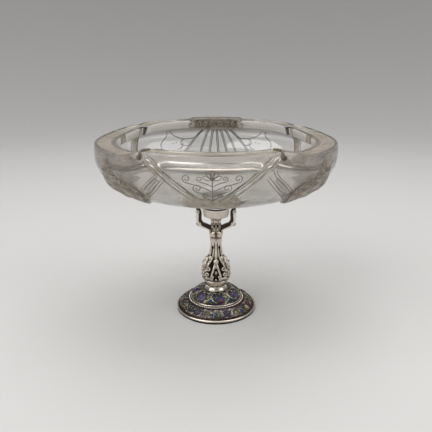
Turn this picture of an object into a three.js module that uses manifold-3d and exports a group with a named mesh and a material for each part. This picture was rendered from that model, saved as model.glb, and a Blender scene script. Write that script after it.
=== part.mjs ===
// A lobed rock-crystal tazza on a cast silver stem and a domed, enamelled foot.
// Millimetres, +Z up. The origin is the centre of the foot's underside, and -Y is the front.
import * as THREE from "three";
import { mergeVertices } from "three/addons/utils/BufferGeometryUtils.js";
import Module from "manifold-3d";

const wasm = await Module();
wasm.setup();

// Clearances
const GAP = 0.3; // between curved or sloping faces that lie on each other
const ROD_CLEARANCE = 0.4; // between the tie rod and the stem's bores

// Foot
const BASE_RADIUS = 42.8; // outermost edge of the foot
const BASE_RING_WIDTH = 4.4;
const PLINTH_HEIGHT = 1.3; // upright edge at the foot of the base ring
const BASE_MOULDING = 2.3; // height of the half-round moulding on the plinth
const MOULDING_INSET = 0.4; // of the moulding behind the plinth's edge
const STEP_INSET = 2.6; // from the foot's edge to where the lower slope starts
const STEP_LIP = 1.2; // upright edge under the lower slope
const STEP_RISE = 7; // from the base ring up to the ledge
const SLOPE_WIDTH = 9.6; // across the lower slope, seen from above
const FOOT_SHEET = 1.2; // silver wall of the step and the dome
const ENAMEL_THICKNESS = 0.8;
const ENAMEL_MARGIN = 0.9; // bare silver left at the edges of an enamelled band
const LEDGE_MARGIN = 0.6; // bare ledge on each side of the beads
const LEDGE_LAP = 1.4; // how far the ledge runs in under the dome
const BEAD_RADIUS = 1.1;
const WIRE_RADIUS = 0.5;
const DOME_FLANGE = 1.4; // width of the flat flange round the dome
const DOME_RISE = 10.8;
const DOME_TOP_RADIUS = 11.4; // flat top that carries the neck

// Stem
const FOOT_NECK_HEIGHT = 10.4;
const FOOT_NECK_WAIST = 9.7;
const FOOT_NECK_TOP = 12.6;
const NECK_RING_RADIUS = 14.2;
const NECK_RING_HEIGHT = 2.8;
const BALUSTER_HEIGHT = 23;
const BALUSTER_RADIUS = 17.2;
const CORE_RADIUS = 5.6;
const LEAF_COUNT = 4;
const LEAF_WIDTH = 3.4; // across the strap, in its own plane
const LEAF_THICKNESS = 5;
const DROP_RADIUS = 2.9;
const DROP_HEIGHT = 9;
const DROP_STANDOFF = 1.2; // between a drop and the baluster's core
const STEM_NECK_HEIGHT = 21.2;
const STEM_NECK_FOOT = 7.8;
const STEM_NECK_WAIST = 5;
const STEM_FLUTES = 8;
const FLUTE_DEPTH = 0.45;
const STEM_RING_HEIGHT = 2;
const STEM_RING_RADIUS = 6.4;
const KNOP_HEIGHT = 7.4;
const KNOP_RADIUS = 7.2;
const KNOP_FLAT_RADIUS = 4.4; // of the knop's flat ends
const HUB_HEIGHT = 15.5;
const HUB_FOOT_RADIUS = 4.2;
const HUB_WAIST_RADIUS = 3.8;
const HUB_TOP_RADIUS = 6.2;
const HUB_TOP_PLATE = 1.6;
const HUB_EYES = 8; // small upright holes pierced round the hub
const EYE_HEIGHT = 5.4; // of the eyes' middle above the hub's foot
const EYE_RADIUS = 0.75;
const EYE_STRETCH = 1.7; // length of an eye over its width

// Bowl mount
const COLLAR_HEIGHT = 8.9;
const COLLAR_WALL = 1.1; // at the collar's foot
const COLLAR_FLARE = 1.7; // how much wider the collar is at its mouth
const COLLAR_FLOOR = 1.8;
const STUB_CLEARANCE = 0.4; // between the crystal's stub and the collar
const PAD_THICKNESS = 0.7;
const BRACKET_STANDOFF = 1.8; // between the collar's mouth and a bracket
const BRACKET_WIDTH = 3.4;
const BRACKET_THICKNESS = 4.2;
const BRACKET_LEAN = 5.1; // how far a bracket's tip leans out under the bowl

// Fastening
const ROD_RADIUS = 2;
const ROD_THREAD_END = 7; // rod left below the washer for the nut
const WASHER_RADIUS = 7.5;
const WASHER_THICKNESS = 1.2;
const NUT_ACROSS_FLATS = 8;
const NUT_HEIGHT = 4;

// Crystal bowl
const BOWL_RADIUS = 119.2; // widest radius of a lobe
const BOWL_DEPTH = 74; // from the rim down to where the sloping bottom starts
const STUB_RADIUS = 11.2;
const STUB_SHOW = 3.6; // from the collar's mouth up to where the sloping bottom starts
const STUB_FLARE = 4.8; // from the stub out to where the sloping bottom starts
const BOTTOM_SLOPE = 0.305;
const KNEE_INSET = 39.2; // from the widest radius in to where the bottom turns up
const SHOULDER_DROP = 8; // from the rim down to the widest place
const WALL = 5;
const FLANGE_WIDTH = 21.8; // flat rim, turned inward
const OPENING_OVAL = 2; // the opening's extra radius to the front and back
const RIM_ROUND = 1.4; // rounding at the rim's outer edge
const LIP_HEIGHT = 9; // of the flange's inner edge
const FRONT_PANEL_TURN = -2.4; // degrees from the front to the middle of the front panel
const FRONT_PANEL_HALF = 30; // half of the front panel at the rim, in degrees
const FRONT_WAIST_HALF = 6; // and at its narrowest, where the two front ribs nearly meet
const FRONT_WAIST_DROP = 43; // from the rim down to that place
const BACK_RIB_AZIMUTH = 130; // degrees from the front to a back rib at the rim
const BACK_RIB_DRIFT = 10; // how much nearer to the front it is at the waist's height
const VALLEY_DEPTH = 3.6;
const VALLEY_WIDTH = 9;
const RIM_DIP = 5.5; // how far the rim drops over the side lobes
const COLUMN_ANGLE = 5; // degrees between the bowl's columns of points

const RING_SEGMENTS = 40;

const looks = {
  silver: new THREE.MeshStandardMaterial({ color: 0xb9b0a2, roughness: 0.32, metalness: 1 }),
  enamel: new THREE.MeshStandardMaterial({ color: 0x3a2f52, roughness: 0.25, metalness: 0 }),
  cement: new THREE.MeshStandardMaterial({ color: 0xd8d0bd, roughness: 0.9, metalness: 0 }),
  brass: new THREE.MeshStandardMaterial({ color: 0xa98d54, roughness: 0.45, metalness: 1 }),
  crystal: new THREE.MeshStandardMaterial({
    color: 0xe6e9ea,
    roughness: 0.04,
    metalness: 0,
    transparent: true,
    opacity: 0.4,
  }),
};

// Heights of the faces on which the pieces stand, from the table up
const level = {};
level.baseTop = PLINTH_HEIGHT + BASE_MOULDING;
level.ledge = level.baseTop + STEP_RISE;
level.flange = level.ledge + FOOT_SHEET;
level.domeTop = level.ledge + DOME_RISE;
level.neckRing = level.domeTop + FOOT_NECK_HEIGHT;
level.baluster = level.neckRing + NECK_RING_HEIGHT;
level.stemNeck = level.baluster + BALUSTER_HEIGHT;
level.stemRing = level.stemNeck + STEM_NECK_HEIGHT;
level.knop = level.stemRing + STEM_RING_HEIGHT;
level.hub = level.knop + KNOP_HEIGHT;
level.collar = level.hub + HUB_HEIGHT;
level.pad = level.collar + COLLAR_FLOOR;
level.stub = level.pad + PAD_THICKNESS;
level.mouth = level.collar + COLLAR_HEIGHT;
level.bottom = level.mouth + STUB_SHOW;
level.rim = level.bottom + BOWL_DEPTH;

// Radii that follow from each other, in the foot from its edge inward, and in the mount outward
const radius = {};
radius.ledge = BASE_RADIUS - STEP_INSET - SLOPE_WIDTH;
radius.beads = radius.ledge - LEDGE_MARGIN - BEAD_RADIUS;
radius.flange = radius.beads - BEAD_RADIUS - LEDGE_MARGIN;
radius.dome = radius.flange - DOME_FLANGE;
radius.ledgeInside = radius.dome - LEDGE_LAP;
radius.bore = ROD_RADIUS + ROD_CLEARANCE;
radius.hole = ROD_RADIUS + GAP;
radius.drops = CORE_RADIUS + DROP_STANDOFF + DROP_RADIUS;
radius.cupInside = STUB_RADIUS + STUB_CLEARANCE;
radius.collarFoot = radius.cupInside + COLLAR_WALL;
radius.collarMouth = radius.collarFoot + COLLAR_FLARE;
radius.bracket = radius.collarMouth + BRACKET_STANDOFF + BRACKET_WIDTH / 2;
radius.bracketTip = radius.bracket + BRACKET_LEAN;
radius.bottom = STUB_RADIUS + STUB_FLARE;

const point = (x, y) => new THREE.Vector2(x, y);
const radians = (degrees) => (degrees * Math.PI) / 180;
const mix = (a, b, t) => a + (b - a) * t;
const smooth = (from, to, x) => THREE.MathUtils.smoothstep(x, from, to);

// Points of an elliptical arc in the (radius, height) plane, angles in degrees
function arc(x, y, width, height, from, to, steps) {
  const points = [];
  for (let i = 0; i <= steps; i += 1) {
    const angle = radians(mix(from, to, i / steps));
    points.push(point(x + width * Math.cos(angle), y + height * Math.sin(angle)));
  }
  return points;
}

const tazza = new THREE.Group();

function add(name, geometry, look) {
  const mesh = new THREE.Mesh(geometry, look);
  mesh.name = name;
  tazza.add(mesh);
  return mesh;
}

// A turned ring: its outline is a closed loop of points, counted anticlockwise
function turned(name, loop, look, segments = RING_SEGMENTS) {
  const geometry = new THREE.LatheGeometry([...loop, loop[0]], segments);
  geometry.rotateX(Math.PI / 2);
  return add(name, geometry, look);
}

// A body of rows round the axis. place(row, azimuth) gives each point. Rows that have the radius 0
// close the body at the axis, and otherwise the last row joins the first.
function rowsBody(rows, azimuths, place) {
  const positions = [];
  const index = rows.map((row) => {
    const start = positions.length / 3;
    const places = row.r === 0 ? [0] : azimuths;
    places.forEach((azimuth) => positions.push(...place(row, azimuth)));
    return azimuths.map((azimuth, i) => (row.r === 0 ? start : start + i));
  });
  const closedAtAxis = rows[0].r === 0;
  const bands = closedAtAxis ? rows.length - 1 : rows.length;
  const triangles = [];
  const face = (a, b, c) => {
    if (a !== b && b !== c && c !== a) {
      triangles.push(a, b, c);
    }
  };
  for (let i = 0; i < bands; i += 1) {
    const lower = index[i];
    const upper = index[(i + 1) % rows.length];
    azimuths.forEach((azimuth, j) => {
      const next = (j + 1) % azimuths.length;
      face(lower[j], lower[next], upper[next]);
      face(lower[j], upper[next], upper[j]);
    });
  }
  const geometry = new THREE.BufferGeometry();
  geometry.setAttribute("position", new THREE.Float32BufferAttribute(positions, 3));
  geometry.setIndex(triangles);
  geometry.computeVertexNormals();
  return geometry;
}

// A closed geometry as a solid that can be cut
function asSolid(geometry) {
  const bare = geometry.clone();
  bare.deleteAttribute("normal");
  bare.deleteAttribute("uv");
  const merged = mergeVertices(bare, 1e-4);
  const mesh = new wasm.Mesh({
    numProp: 3,
    vertProperties: new Float32Array(merged.attributes.position.array),
    triVerts: new Uint32Array(merged.index.array),
  });
  return new wasm.Manifold(mesh);
}

function fromSolid(solid) {
  const mesh = solid.getMesh();
  const geometry = new THREE.BufferGeometry();
  geometry.setAttribute("position", new THREE.BufferAttribute(mesh.vertProperties, 3));
  geometry.setIndex(new THREE.BufferAttribute(mesh.triVerts, 1));
  geometry.computeVertexNormals();
  return geometry;
}

// The place at a radius and a height, at an azimuth counted in degrees from the front towards +X
function around(r, z, azimuth) {
  return [r * Math.sin(radians(azimuth)), -r * Math.cos(radians(azimuth)), z];
}

function evenAzimuths(count) {
  return Array.from({ length: count }, (unused, i) => (360 * i) / count);
}

// A flat strap that follows a curve in the (radius, height) plane, square to that plane's sides
function strap(name, path, width, thickness, azimuth, look, steps = 14) {
  const curve = new THREE.SplineCurve(path);
  const outer = [];
  const inner = [];
  for (let i = 0; i <= steps; i += 1) {
    const at = curve.getPoint(i / steps);
    const along = curve.getTangent(i / steps);
    const side = point(along.y, -along.x).multiplyScalar(width / 2);
    outer.push(at.clone().add(side));
    inner.unshift(at.clone().sub(side));
  }
  const shape = new THREE.Shape([...outer, ...inner]);
  const geometry = new THREE.ExtrudeGeometry(shape, { depth: thickness, bevelEnabled: false });
  geometry.translate(0, 0, -thickness / 2);
  geometry.rotateX(Math.PI / 2);
  geometry.rotateZ(radians(azimuth));
  return add(name, geometry, look);
}

// The foot: base ring, sloping step, domed centre and their applied rings and enamel

function buildBaseRing() {
  const half = BASE_MOULDING / 2;
  const inner = BASE_RADIUS - BASE_RING_WIDTH;
  const centre = BASE_RADIUS - MOULDING_INSET - half;
  turned(
    "base_ring",
    [
      point(inner, 0),
      point(BASE_RADIUS, 0),
      point(BASE_RADIUS, PLINTH_HEIGHT),
      ...arc(centre, PLINTH_HEIGHT + half, half, half, -90, 90, 6),
      point(inner, level.baseTop),
    ],
    looks.silver,
  );
}

const slope = {
  foot: point(BASE_RADIUS - STEP_INSET, level.baseTop + STEP_LIP),
  head: point(radius.ledge, level.ledge),
};

// A place over the lower slope: share of the way up, and height square to it
function overSlope(share, height) {
  const along = slope.head.clone().sub(slope.foot);
  const square = point(along.y, -along.x).normalize().multiplyScalar(height);
  return slope.foot.clone().lerp(slope.head, share).add(square);
}

function buildStep() {
  const foot = slope.foot.x;
  const underFoot = overSlope(0, -FOOT_SHEET);
  const underHead = overSlope(1, -FOOT_SHEET);
  turned(
    "foot_step",
    [
      point(underFoot.x, level.baseTop),
      point(foot, level.baseTop),
      slope.foot,
      slope.head,
      point(radius.ledgeInside, level.ledge),
      point(radius.ledgeInside, level.ledge - FOOT_SHEET),
      point(underHead.x - FOOT_SHEET / 2, level.ledge - FOOT_SHEET),
      underFoot,
    ],
    looks.silver,
  );
  const length = slope.foot.distanceTo(slope.head);
  const margin = ENAMEL_MARGIN / length;
  turned(
    "lower_enamel_band",
    [
      overSlope(margin, GAP),
      overSlope(margin, GAP + ENAMEL_THICKNESS),
      overSlope(1 - margin, GAP + ENAMEL_THICKNESS),
      overSlope(1 - margin, GAP),
    ],
    looks.enamel,
  );
}

function buildLedgeRings() {
  const bead = BEAD_RADIUS;
  turned(
    "bead_ring",
    [
      point(radius.beads - bead, level.ledge),
      point(radius.beads + bead, level.ledge),
      ...arc(radius.beads, level.ledge + bead, bead, bead, 0, 180, 5),
    ],
    looks.silver,
  );
  const wireCircle = radius.flange - WIRE_RADIUS;
  turned(
    "wire_ring",
    [
      point(wireCircle - WIRE_RADIUS, level.flange),
      point(wireCircle + WIRE_RADIUS, level.flange),
      ...arc(wireCircle, level.flange + WIRE_RADIUS, WIRE_RADIUS, WIRE_RADIUS, 0, 180, 4),
    ],
    looks.silver,
  );
}

// Points of the dome, from its spring to its flat top, at a height square to its surface
function domeArc(height, from, to, steps) {
  const width = radius.dome - DOME_TOP_RADIUS;
  return arc(DOME_TOP_RADIUS, level.flange, width + height, DOME_RISE - FOOT_SHEET + height, from, to, steps);
}

function buildDome() {
  turned(
    "foot_dome",
    [
      point(radius.flange, level.ledge),
      point(radius.flange, level.flange),
      ...domeArc(0, 0, 90, 7),
      point(radius.bore, level.domeTop),
      point(radius.bore, level.domeTop - FOOT_SHEET),
      ...domeArc(-FOOT_SHEET, 90, 0, 5),
      point(radius.dome - FOOT_SHEET, level.ledge),
    ],
    looks.silver,
  );
  const from = 10;
  const to = 76;
  turned(
    "upper_enamel_dome",
    [...domeArc(GAP + ENAMEL_THICKNESS, from, to, 6), ...domeArc(GAP, to, from, 6)],
    looks.enamel,
  );
}

// The stem: neck, baluster with its scroll leaves, fluted neck, knop and hub

function buildFootNeck() {
  const waist = [
    point(DOME_TOP_RADIUS - 0.4, level.domeTop),
    point(FOOT_NECK_WAIST, level.domeTop + FOOT_NECK_HEIGHT * 0.4),
    point(FOOT_NECK_TOP, level.neckRing),
  ];
  turned(
    "foot_neck",
    [
      ...new THREE.SplineCurve(waist).getPoints(6),
      point(radius.bore, level.neckRing),
      point(radius.bore, level.domeTop),
    ],
    looks.silver,
  );
  const half = NECK_RING_HEIGHT / 2;
  turned(
    "neck_ring",
    [
      point(radius.bore, level.neckRing),
      ...arc(NECK_RING_RADIUS - half, level.neckRing + half, half, half, -90, 90, 6),
      point(radius.bore, level.baluster),
    ],
    looks.silver,
  );
}

function buildBaluster() {
  turned(
    "baluster_core",
    [
      point(radius.bore, level.baluster),
      point(CORE_RADIUS, level.baluster),
      point(CORE_RADIUS, level.stemNeck),
      point(radius.bore, level.stemNeck),
    ],
    looks.silver,
    32,
  );
  const reach = BALUSTER_RADIUS - LEAF_WIDTH / 2;
  const foot = level.baluster + GAP + LEAF_WIDTH / 2;
  const head = level.stemNeck - GAP;
  const path = [
    point(CORE_RADIUS + GAP + LEAF_WIDTH * 0.7, foot),
    point(reach * 0.82, foot + BALUSTER_HEIGHT * 0.02),
    point(reach, foot + BALUSTER_HEIGHT * 0.2),
    point(reach * 0.86, foot + BALUSTER_HEIGHT * 0.47),
    point(CORE_RADIUS + GAP + LEAF_WIDTH * 0.65, head - BALUSTER_HEIGHT * 0.2),
    point(CORE_RADIUS + GAP + LEAF_WIDTH * 0.65, head),
  ];
  for (let i = 0; i < LEAF_COUNT; i += 1) {
    const azimuth = -90 + (360 * i) / LEAF_COUNT;
    strap(`scroll_leaf_${i + 1}`, path, LEAF_WIDTH, LEAF_THICKNESS, azimuth, looks.silver, 18);
  }
  for (let i = 0; i < LEAF_COUNT; i += 1) {
    const drop = turnedDrop(DROP_RADIUS, DROP_HEIGHT);
    const [x, y] = around(radius.drops, 0, (360 * (i + 0.5)) / LEAF_COUNT);
    drop.translate(x, y, level.baluster);
    add(`berry_drop_${i + 1}`, drop, looks.silver);
  }
}

// A drop that stands on a small flat foot
function turnedDrop(width, height) {
  const outline = [
    point(0, 0),
    point(width * 0.55, 0),
    point(width * 0.93, height * 0.15),
    point(width, height * 0.33),
    point(width * 0.8, height * 0.58),
    point(width * 0.4, height * 0.84),
    point(0, height),
  ];
  const geometry = new THREE.LatheGeometry(outline, 16);
  geometry.rotateX(Math.PI / 2);
  return geometry;
}

function buildStemNeck() {
  const curve = new THREE.SplineCurve([
    point(STEM_NECK_FOOT, level.stemNeck),
    point(mix(STEM_NECK_WAIST, STEM_NECK_FOOT, 0.55), level.stemNeck + STEM_NECK_HEIGHT * 0.3),
    point(STEM_NECK_WAIST, level.stemNeck + STEM_NECK_HEIGHT * 0.75),
    point(STEM_NECK_WAIST + 0.6, level.stemRing),
  ]);
  const outside = curve.getPoints(7).map((at) => ({ r: at.x, z: at.y, flute: FLUTE_DEPTH }));
  const inside = [level.stemRing, level.stemNeck].map((z) => ({
    r: radius.bore,
    z,
    flute: 0,
  }));
  const place = (row, azimuth) => {
    const dip = row.flute * (0.5 - 0.5 * Math.cos(radians(azimuth * STEM_FLUTES)));
    return around(row.r - dip, row.z, azimuth);
  };
  add("stem_neck", rowsBody([...outside, ...inside], evenAzimuths(STEM_FLUTES * 4), place), looks.silver);
}

function buildKnop() {
  const half = STEM_RING_HEIGHT / 2;
  turned(
    "stem_ring",
    [
      point(radius.bore, level.stemRing),
      ...arc(STEM_RING_RADIUS - half, level.stemRing + half, half, half, -90, 90, 5),
      point(radius.bore, level.knop),
    ],
    looks.silver,
    32,
  );
  const middle = level.knop + KNOP_HEIGHT / 2;
  turned(
    "knop",
    [
      point(radius.bore, level.knop),
      ...arc(KNOP_FLAT_RADIUS, middle, KNOP_RADIUS - KNOP_FLAT_RADIUS, KNOP_HEIGHT / 2, -90, 90, 8),
      point(radius.bore, level.hub),
    ],
    looks.silver,
    32,
  );
}

function buildHub() {
  const rows = [
    point(radius.bore, level.hub),
    point(HUB_FOOT_RADIUS, level.hub),
    point(HUB_WAIST_RADIUS, level.hub + HUB_TOP_PLATE),
    point(HUB_FOOT_RADIUS, level.hub + EYE_HEIGHT),
    point(HUB_WAIST_RADIUS, level.hub + HUB_HEIGHT * 0.65),
    point(mix(HUB_WAIST_RADIUS, HUB_TOP_RADIUS, 0.5), level.collar - HUB_TOP_PLATE * 1.5),
    point(HUB_TOP_RADIUS, level.collar - HUB_TOP_PLATE),
    point(HUB_TOP_RADIUS, level.collar),
    point(radius.bore, level.collar),
  ];
  const hub = turned("bracket_hub", rows, looks.silver, HUB_EYES * 3);
  let solid = asSolid(hub.geometry);
  for (let i = 0; i < HUB_EYES / 2; i += 1) {
    const eye = new THREE.CylinderGeometry(EYE_RADIUS, EYE_RADIUS, HUB_TOP_RADIUS * 2, 8);
    eye.scale(1, 1, EYE_STRETCH);
    eye.rotateZ(radians((180 * (i + 0.5)) / (HUB_EYES / 2)));
    eye.translate(0, 0, level.hub + EYE_HEIGHT);
    solid = solid.subtract(asSolid(eye));
  }
  hub.geometry = fromSolid(solid);
}

// The mount that holds the crystal: collar cup, cement pad and two scroll brackets

function buildCollar() {
  const rim = 0.3; // chamfer at the collar's mouth
  turned(
    "collar_cup",
    [
      point(radius.hole, level.collar),
      point(radius.collarFoot - rim * 2, level.collar),
      point(radius.collarFoot, level.collar + rim * 2),
      point(mix(radius.collarFoot, radius.collarMouth, 0.35), level.collar + COLLAR_HEIGHT * 0.6),
      point(radius.collarMouth, level.mouth - rim * 3),
      point(radius.collarMouth - rim, level.mouth),
      point(radius.cupInside, level.mouth),
      point(radius.cupInside, level.pad),
      point(radius.hole, level.pad),
    ],
    looks.silver,
  );
  turned(
    "seat_pad",
    [
      point(radius.hole, level.pad),
      point(STUB_RADIUS, level.pad),
      point(STUB_RADIUS, level.stub),
      point(radius.hole, level.stub),
    ],
    looks.cement,
    32,
  );
}

function buildBrackets() {
  const foot = level.hub + BRACKET_WIDTH / 2 + GAP;
  const inside = HUB_FOOT_RADIUS + GAP + 0.4;
  const underBowl = level.bottom + (radius.bracketTip - radius.bottom) * BOTTOM_SLOPE;
  const path = [
    point(inside, foot),
    point(mix(inside, radius.bracket, 0.42), foot + 1.4),
    point(radius.bracket - 2.6, foot + 3),
    point(radius.bracket, foot + 7.5),
    point(radius.bracket, level.collar + COLLAR_HEIGHT * 0.4),
    point(radius.bracket + 0.3, level.mouth),
    point(radius.bracketTip, underBowl - BRACKET_WIDTH / 2 - GAP),
  ];
  strap("bracket_right", path, BRACKET_WIDTH, BRACKET_THICKNESS, 0, looks.silver, 22);
  strap("bracket_left", path, BRACKET_WIDTH, BRACKET_THICKNESS, 180, looks.silver, 22);
}

// The fastening inside the stem

function buildFastening() {
  const washerTop = level.domeTop - FOOT_SHEET;
  const washerFoot = washerTop - WASHER_THICKNESS;
  turned(
    "washer",
    [
      point(radius.hole, washerFoot),
      point(WASHER_RADIUS, washerFoot),
      point(WASHER_RADIUS, washerTop),
      point(radius.hole, washerTop),
    ],
    looks.brass,
    24,
  );
  const nutRadius = NUT_ACROSS_FLATS / 2 / Math.cos(Math.PI / 6);
  const corners = evenAzimuths(6).map((azimuth) => {
    const [x, y] = around(nutRadius, 0, azimuth);
    return point(x, y);
  });
  const hexagon = new THREE.Shape(corners);
  hexagon.holes.push(new THREE.Path().absarc(0, 0, radius.hole, 0, Math.PI * 2, true));
  const nut = new THREE.ExtrudeGeometry(hexagon, { depth: NUT_HEIGHT, bevelEnabled: false });
  nut.translate(0, 0, washerFoot - NUT_HEIGHT);
  add("nut", nut, looks.brass);
  const rodFoot = washerFoot - ROD_THREAD_END;
  const rodTop = level.stub - GAP;
  const rod = new THREE.CylinderGeometry(ROD_RADIUS, ROD_RADIUS, rodTop - rodFoot, 16);
  rod.rotateX(Math.PI / 2);
  rod.translate(0, 0, (rodTop + rodFoot) / 2);
  add("tie_rod", rod, looks.brass);
}

// The crystal bowl: four lobes between ribs, with a flat rim turned inward

// Azimuths of the four ribs at a height, in degrees from the front towards +X
function ribsAt(z) {
  const waist = level.rim - FRONT_WAIST_DROP;
  const rise = Math.min(Math.max((z - waist) / FRONT_WAIST_DROP, 0), 1);
  const spread = Math.max(rise, 1 - smooth(level.bottom, waist, z));
  const half = mix(FRONT_WAIST_HALF, FRONT_PANEL_HALF, spread);
  const back = BACK_RIB_AZIMUTH - BACK_RIB_DRIFT * (1 - rise);
  return [FRONT_PANEL_TURN - half, FRONT_PANEL_TURN + half, back, 360 - back];
}

// The azimuth, at a height, of a column: 1.25 is a quarter of the way from rib 1 to rib 2
function columnAzimuth(column, z) {
  const ribs = ribsAt(z);
  const before = Math.floor(column);
  const after = before + 1 < ribs.length ? ribs[before + 1] : ribs[0] + 360;
  return mix(ribs[before], after, column - before);
}

// Depth of the carved valleys at an azimuth. The front ones run out below their narrowest place
function valleyDepth(row, azimuth) {
  const depths = ribsAt(row.z).map((rib, i) => {
    const turn = (((azimuth - rib) % 360) + 360) % 360;
    const reach = (radians(Math.min(turn, 360 - turn)) * row.r) / VALLEY_WIDTH;
    const waist = level.rim - FRONT_WAIST_DROP;
    const share = i < 2 ? smooth(waist - VALLEY_WIDTH, waist, row.z) : 1;
    return VALLEY_DEPTH * row.lobing * share * Math.exp(-reach * reach);
  });
  return Math.max(...depths);
}

// How much of its dip the rim has at an azimuth: none at the front and back, all at the sides
function rimDip(azimuth) {
  const turn = ((azimuth % 360) + 360) % 360;
  const fromFront = Math.min(turn, 360 - turn);
  return smooth(28, 46, fromFront) * (1 - smooth(95, 150, fromFront));
}

// Columns of points, spread evenly between each rib and the next, so that every rib has one
function bowlColumns() {
  const ribs = ribsAt(level.rim);
  return ribs.flatMap((rib, i) => {
    const next = i + 1 < ribs.length ? ribs[i + 1] : ribs[0] + 360;
    const count = Math.round((next - rib) / COLUMN_ANGLE);
    return Array.from({ length: count }, (unused, j) => i + j / count);
  });
}

function bowlRows() {
  const shoulder = level.rim - SHOULDER_DROP;
  const kneeRadius = BOWL_RADIUS - KNEE_INSET;
  const knee = point(kneeRadius, level.bottom + (kneeRadius - radius.bottom) * BOTTOM_SLOPE);
  const wall = new THREE.CubicBezierCurve(
    knee,
    point(knee.x + 26, knee.y + 26 * BOTTOM_SLOPE),
    point(BOWL_RADIUS, shoulder - 27),
    point(BOWL_RADIUS, shoulder),
  );
  const bottom = new THREE.LineCurve(point(radius.bottom, level.bottom), knee);
  const outerAt = (curve, t) => {
    const at = curve.getPoint(t);
    const along = curve.getTangent(t);
    return { r: at.x, z: at.y, nr: along.y, nz: -along.x, lobing: smooth(20, 70, at.x) };
  };
  const inward = (row) => ({ ...row, r: row.r - row.nr * WALL, z: row.z - row.nz * WALL });
  const bottomRows = [0, 0.3, 0.65].map((t) => outerAt(bottom, t));
  const wallRows = [0, 0.15, 0.3, 0.45, 0.6, 0.8, 1].map((t) => outerAt(wall, t));
  const innerWallRows = [0, 0.25, 0.5, 0.75, 0.92].map((t) => outerAt(wall, t));
  const flat = (r, z, lobing, oval = 0) => ({ r, z, nr: 1, nz: 0, lobing, oval });
  const inner = BOWL_RADIUS - FLANGE_WIDTH;
  const rim = level.rim;
  const lip = rim - LIP_HEIGHT;
  return [
    flat(0, level.stub, 0),
    flat(STUB_RADIUS, level.stub, 0),
    flat(STUB_RADIUS, level.bottom - 2, 0),
    flat(STUB_RADIUS + 1.6, level.bottom - 0.6, 0),
    ...bottomRows,
    ...wallRows,
    flat(BOWL_RADIUS - 0.4, rim - 1.8, 1),
    flat(BOWL_RADIUS - RIM_ROUND, rim, 0.95),
    flat(inner + RIM_ROUND, rim, 0.35, 1),
    flat(inner, rim - RIM_ROUND, 0.3, 1),
    flat(inner, lip, 0.3, 1),
    flat(inner + WALL, lip - 1, 0.4, 0.5),
    ...innerWallRows.map(inward).reverse(),
    ...bottomRows.slice(1).map(inward).reverse(),
    flat(0, level.bottom + WALL, 0),
  ];
}

function bowlPlace(row, column) {
  const azimuth = columnAzimuth(column, row.z);
  const valley = valleyDepth(row, azimuth);
  const dip = RIM_DIP * rimDip(azimuth) * smooth(level.rim - 45, level.rim - 6, row.z);
  const oval = OPENING_OVAL * (row.oval ?? 0) * Math.cos(radians(azimuth)) ** 2;
  return around(row.r - valley * row.nr + oval, row.z - valley * row.nz - dip, azimuth);
}

function buildBowl() {
  add("crystal_bowl", rowsBody(bowlRows(), bowlColumns(), bowlPlace), looks.crystal);
}

buildBaseRing();
buildStep();
buildLedgeRings();
buildDome();
buildFootNeck();
buildBaluster();
buildStemNeck();
buildKnop();
buildHub();
buildCollar();
buildBrackets();
buildFastening();
buildBowl();

export default tazza;
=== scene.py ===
"""A lobed rock-crystal tazza on a cast silver stem and a domed, enamelled foot.

Metres, +Z up and -Y to the front. The origin is the middle of the foot's underside. An azimuth is
given in degrees from the front, towards +X.
"""
import itertools
import logging
import math
from collections.abc import Callable, Iterable, Sequence
from dataclasses import dataclass
from enum import Enum

import bpy
import numpy as np
from bpy.types import Material, Mesh, Node, NodeSocket, Object
from mathutils import Matrix, Vector


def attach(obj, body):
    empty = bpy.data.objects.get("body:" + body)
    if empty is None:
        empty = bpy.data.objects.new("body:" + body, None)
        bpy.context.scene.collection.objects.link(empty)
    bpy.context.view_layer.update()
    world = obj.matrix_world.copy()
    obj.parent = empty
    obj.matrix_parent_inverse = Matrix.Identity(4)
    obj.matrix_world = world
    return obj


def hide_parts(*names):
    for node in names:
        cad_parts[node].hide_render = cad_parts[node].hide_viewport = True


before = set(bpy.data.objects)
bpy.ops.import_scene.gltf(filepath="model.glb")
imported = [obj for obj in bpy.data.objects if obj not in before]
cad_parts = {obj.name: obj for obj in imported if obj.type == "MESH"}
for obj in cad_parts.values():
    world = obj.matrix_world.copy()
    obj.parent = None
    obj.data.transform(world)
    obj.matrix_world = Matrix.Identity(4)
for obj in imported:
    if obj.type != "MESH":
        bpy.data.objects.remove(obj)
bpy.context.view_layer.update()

MM = 0.001
WELD = 1e-6  # vertices nearer than this are one
SMOOTH_ANGLE = 38.0  # degrees over which an edge still shades smooth
FINE = 128  # faces round a piece that is seen close
GROUND_ATTRIBUTE = "ground"  # 0 where the crystal is polished, 1 where the wheel left it matt
RECESS_ATTRIBUTE = "recess"  # 1 where the chaser has cut in, 0 on the high places; painted shade at dents that stand for piercings, and in the crystal's grooves with its hatching
log = logging.getLogger("tazza")

Outline = Sequence[Sequence[float]]  # points as (radius or x, height)
Knots = Sequence[tuple[float, float]]  # points on the bowl as (azimuth, length up in mm)
Values = float | np.ndarray  # a number, or an array of them
Surface = Callable[[float, float], tuple[float, float]]  # (radius, height) at a share and lift
Relief = Callable[[np.ndarray, np.ndarray, np.ndarray], np.ndarray]


class Slot(Enum):
    """The record's material slots."""

    SILVER = "silver"
    ENAMEL = "enamel"
    CRYSTAL = "crystal"
    CEMENT = "cement"
    BRASS = "brass"


# Numbers and points


def mix(start: float, end: float, share: float) -> float:
    """The value at a share of the way from start to end."""
    return start + (end - start) * share


def ease(low: float, high: float, value: Values) -> Values:
    """A smooth step.

    Args:
        low: where it starts to rise from 0.
        high: where it reaches 1.
        value: where it is wanted.

    Returns:
        The step at value, from 0 to 1.
    """
    share = np.clip((value - low) / (high - low), 0.0, 1.0)
    return share * share * (3 - 2 * share)


def bump(centre: float, width: float, value: Values) -> Values:
    """A bell of height 1 round a centre."""
    return np.exp(-(((value - centre) / width) ** 2))


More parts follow.
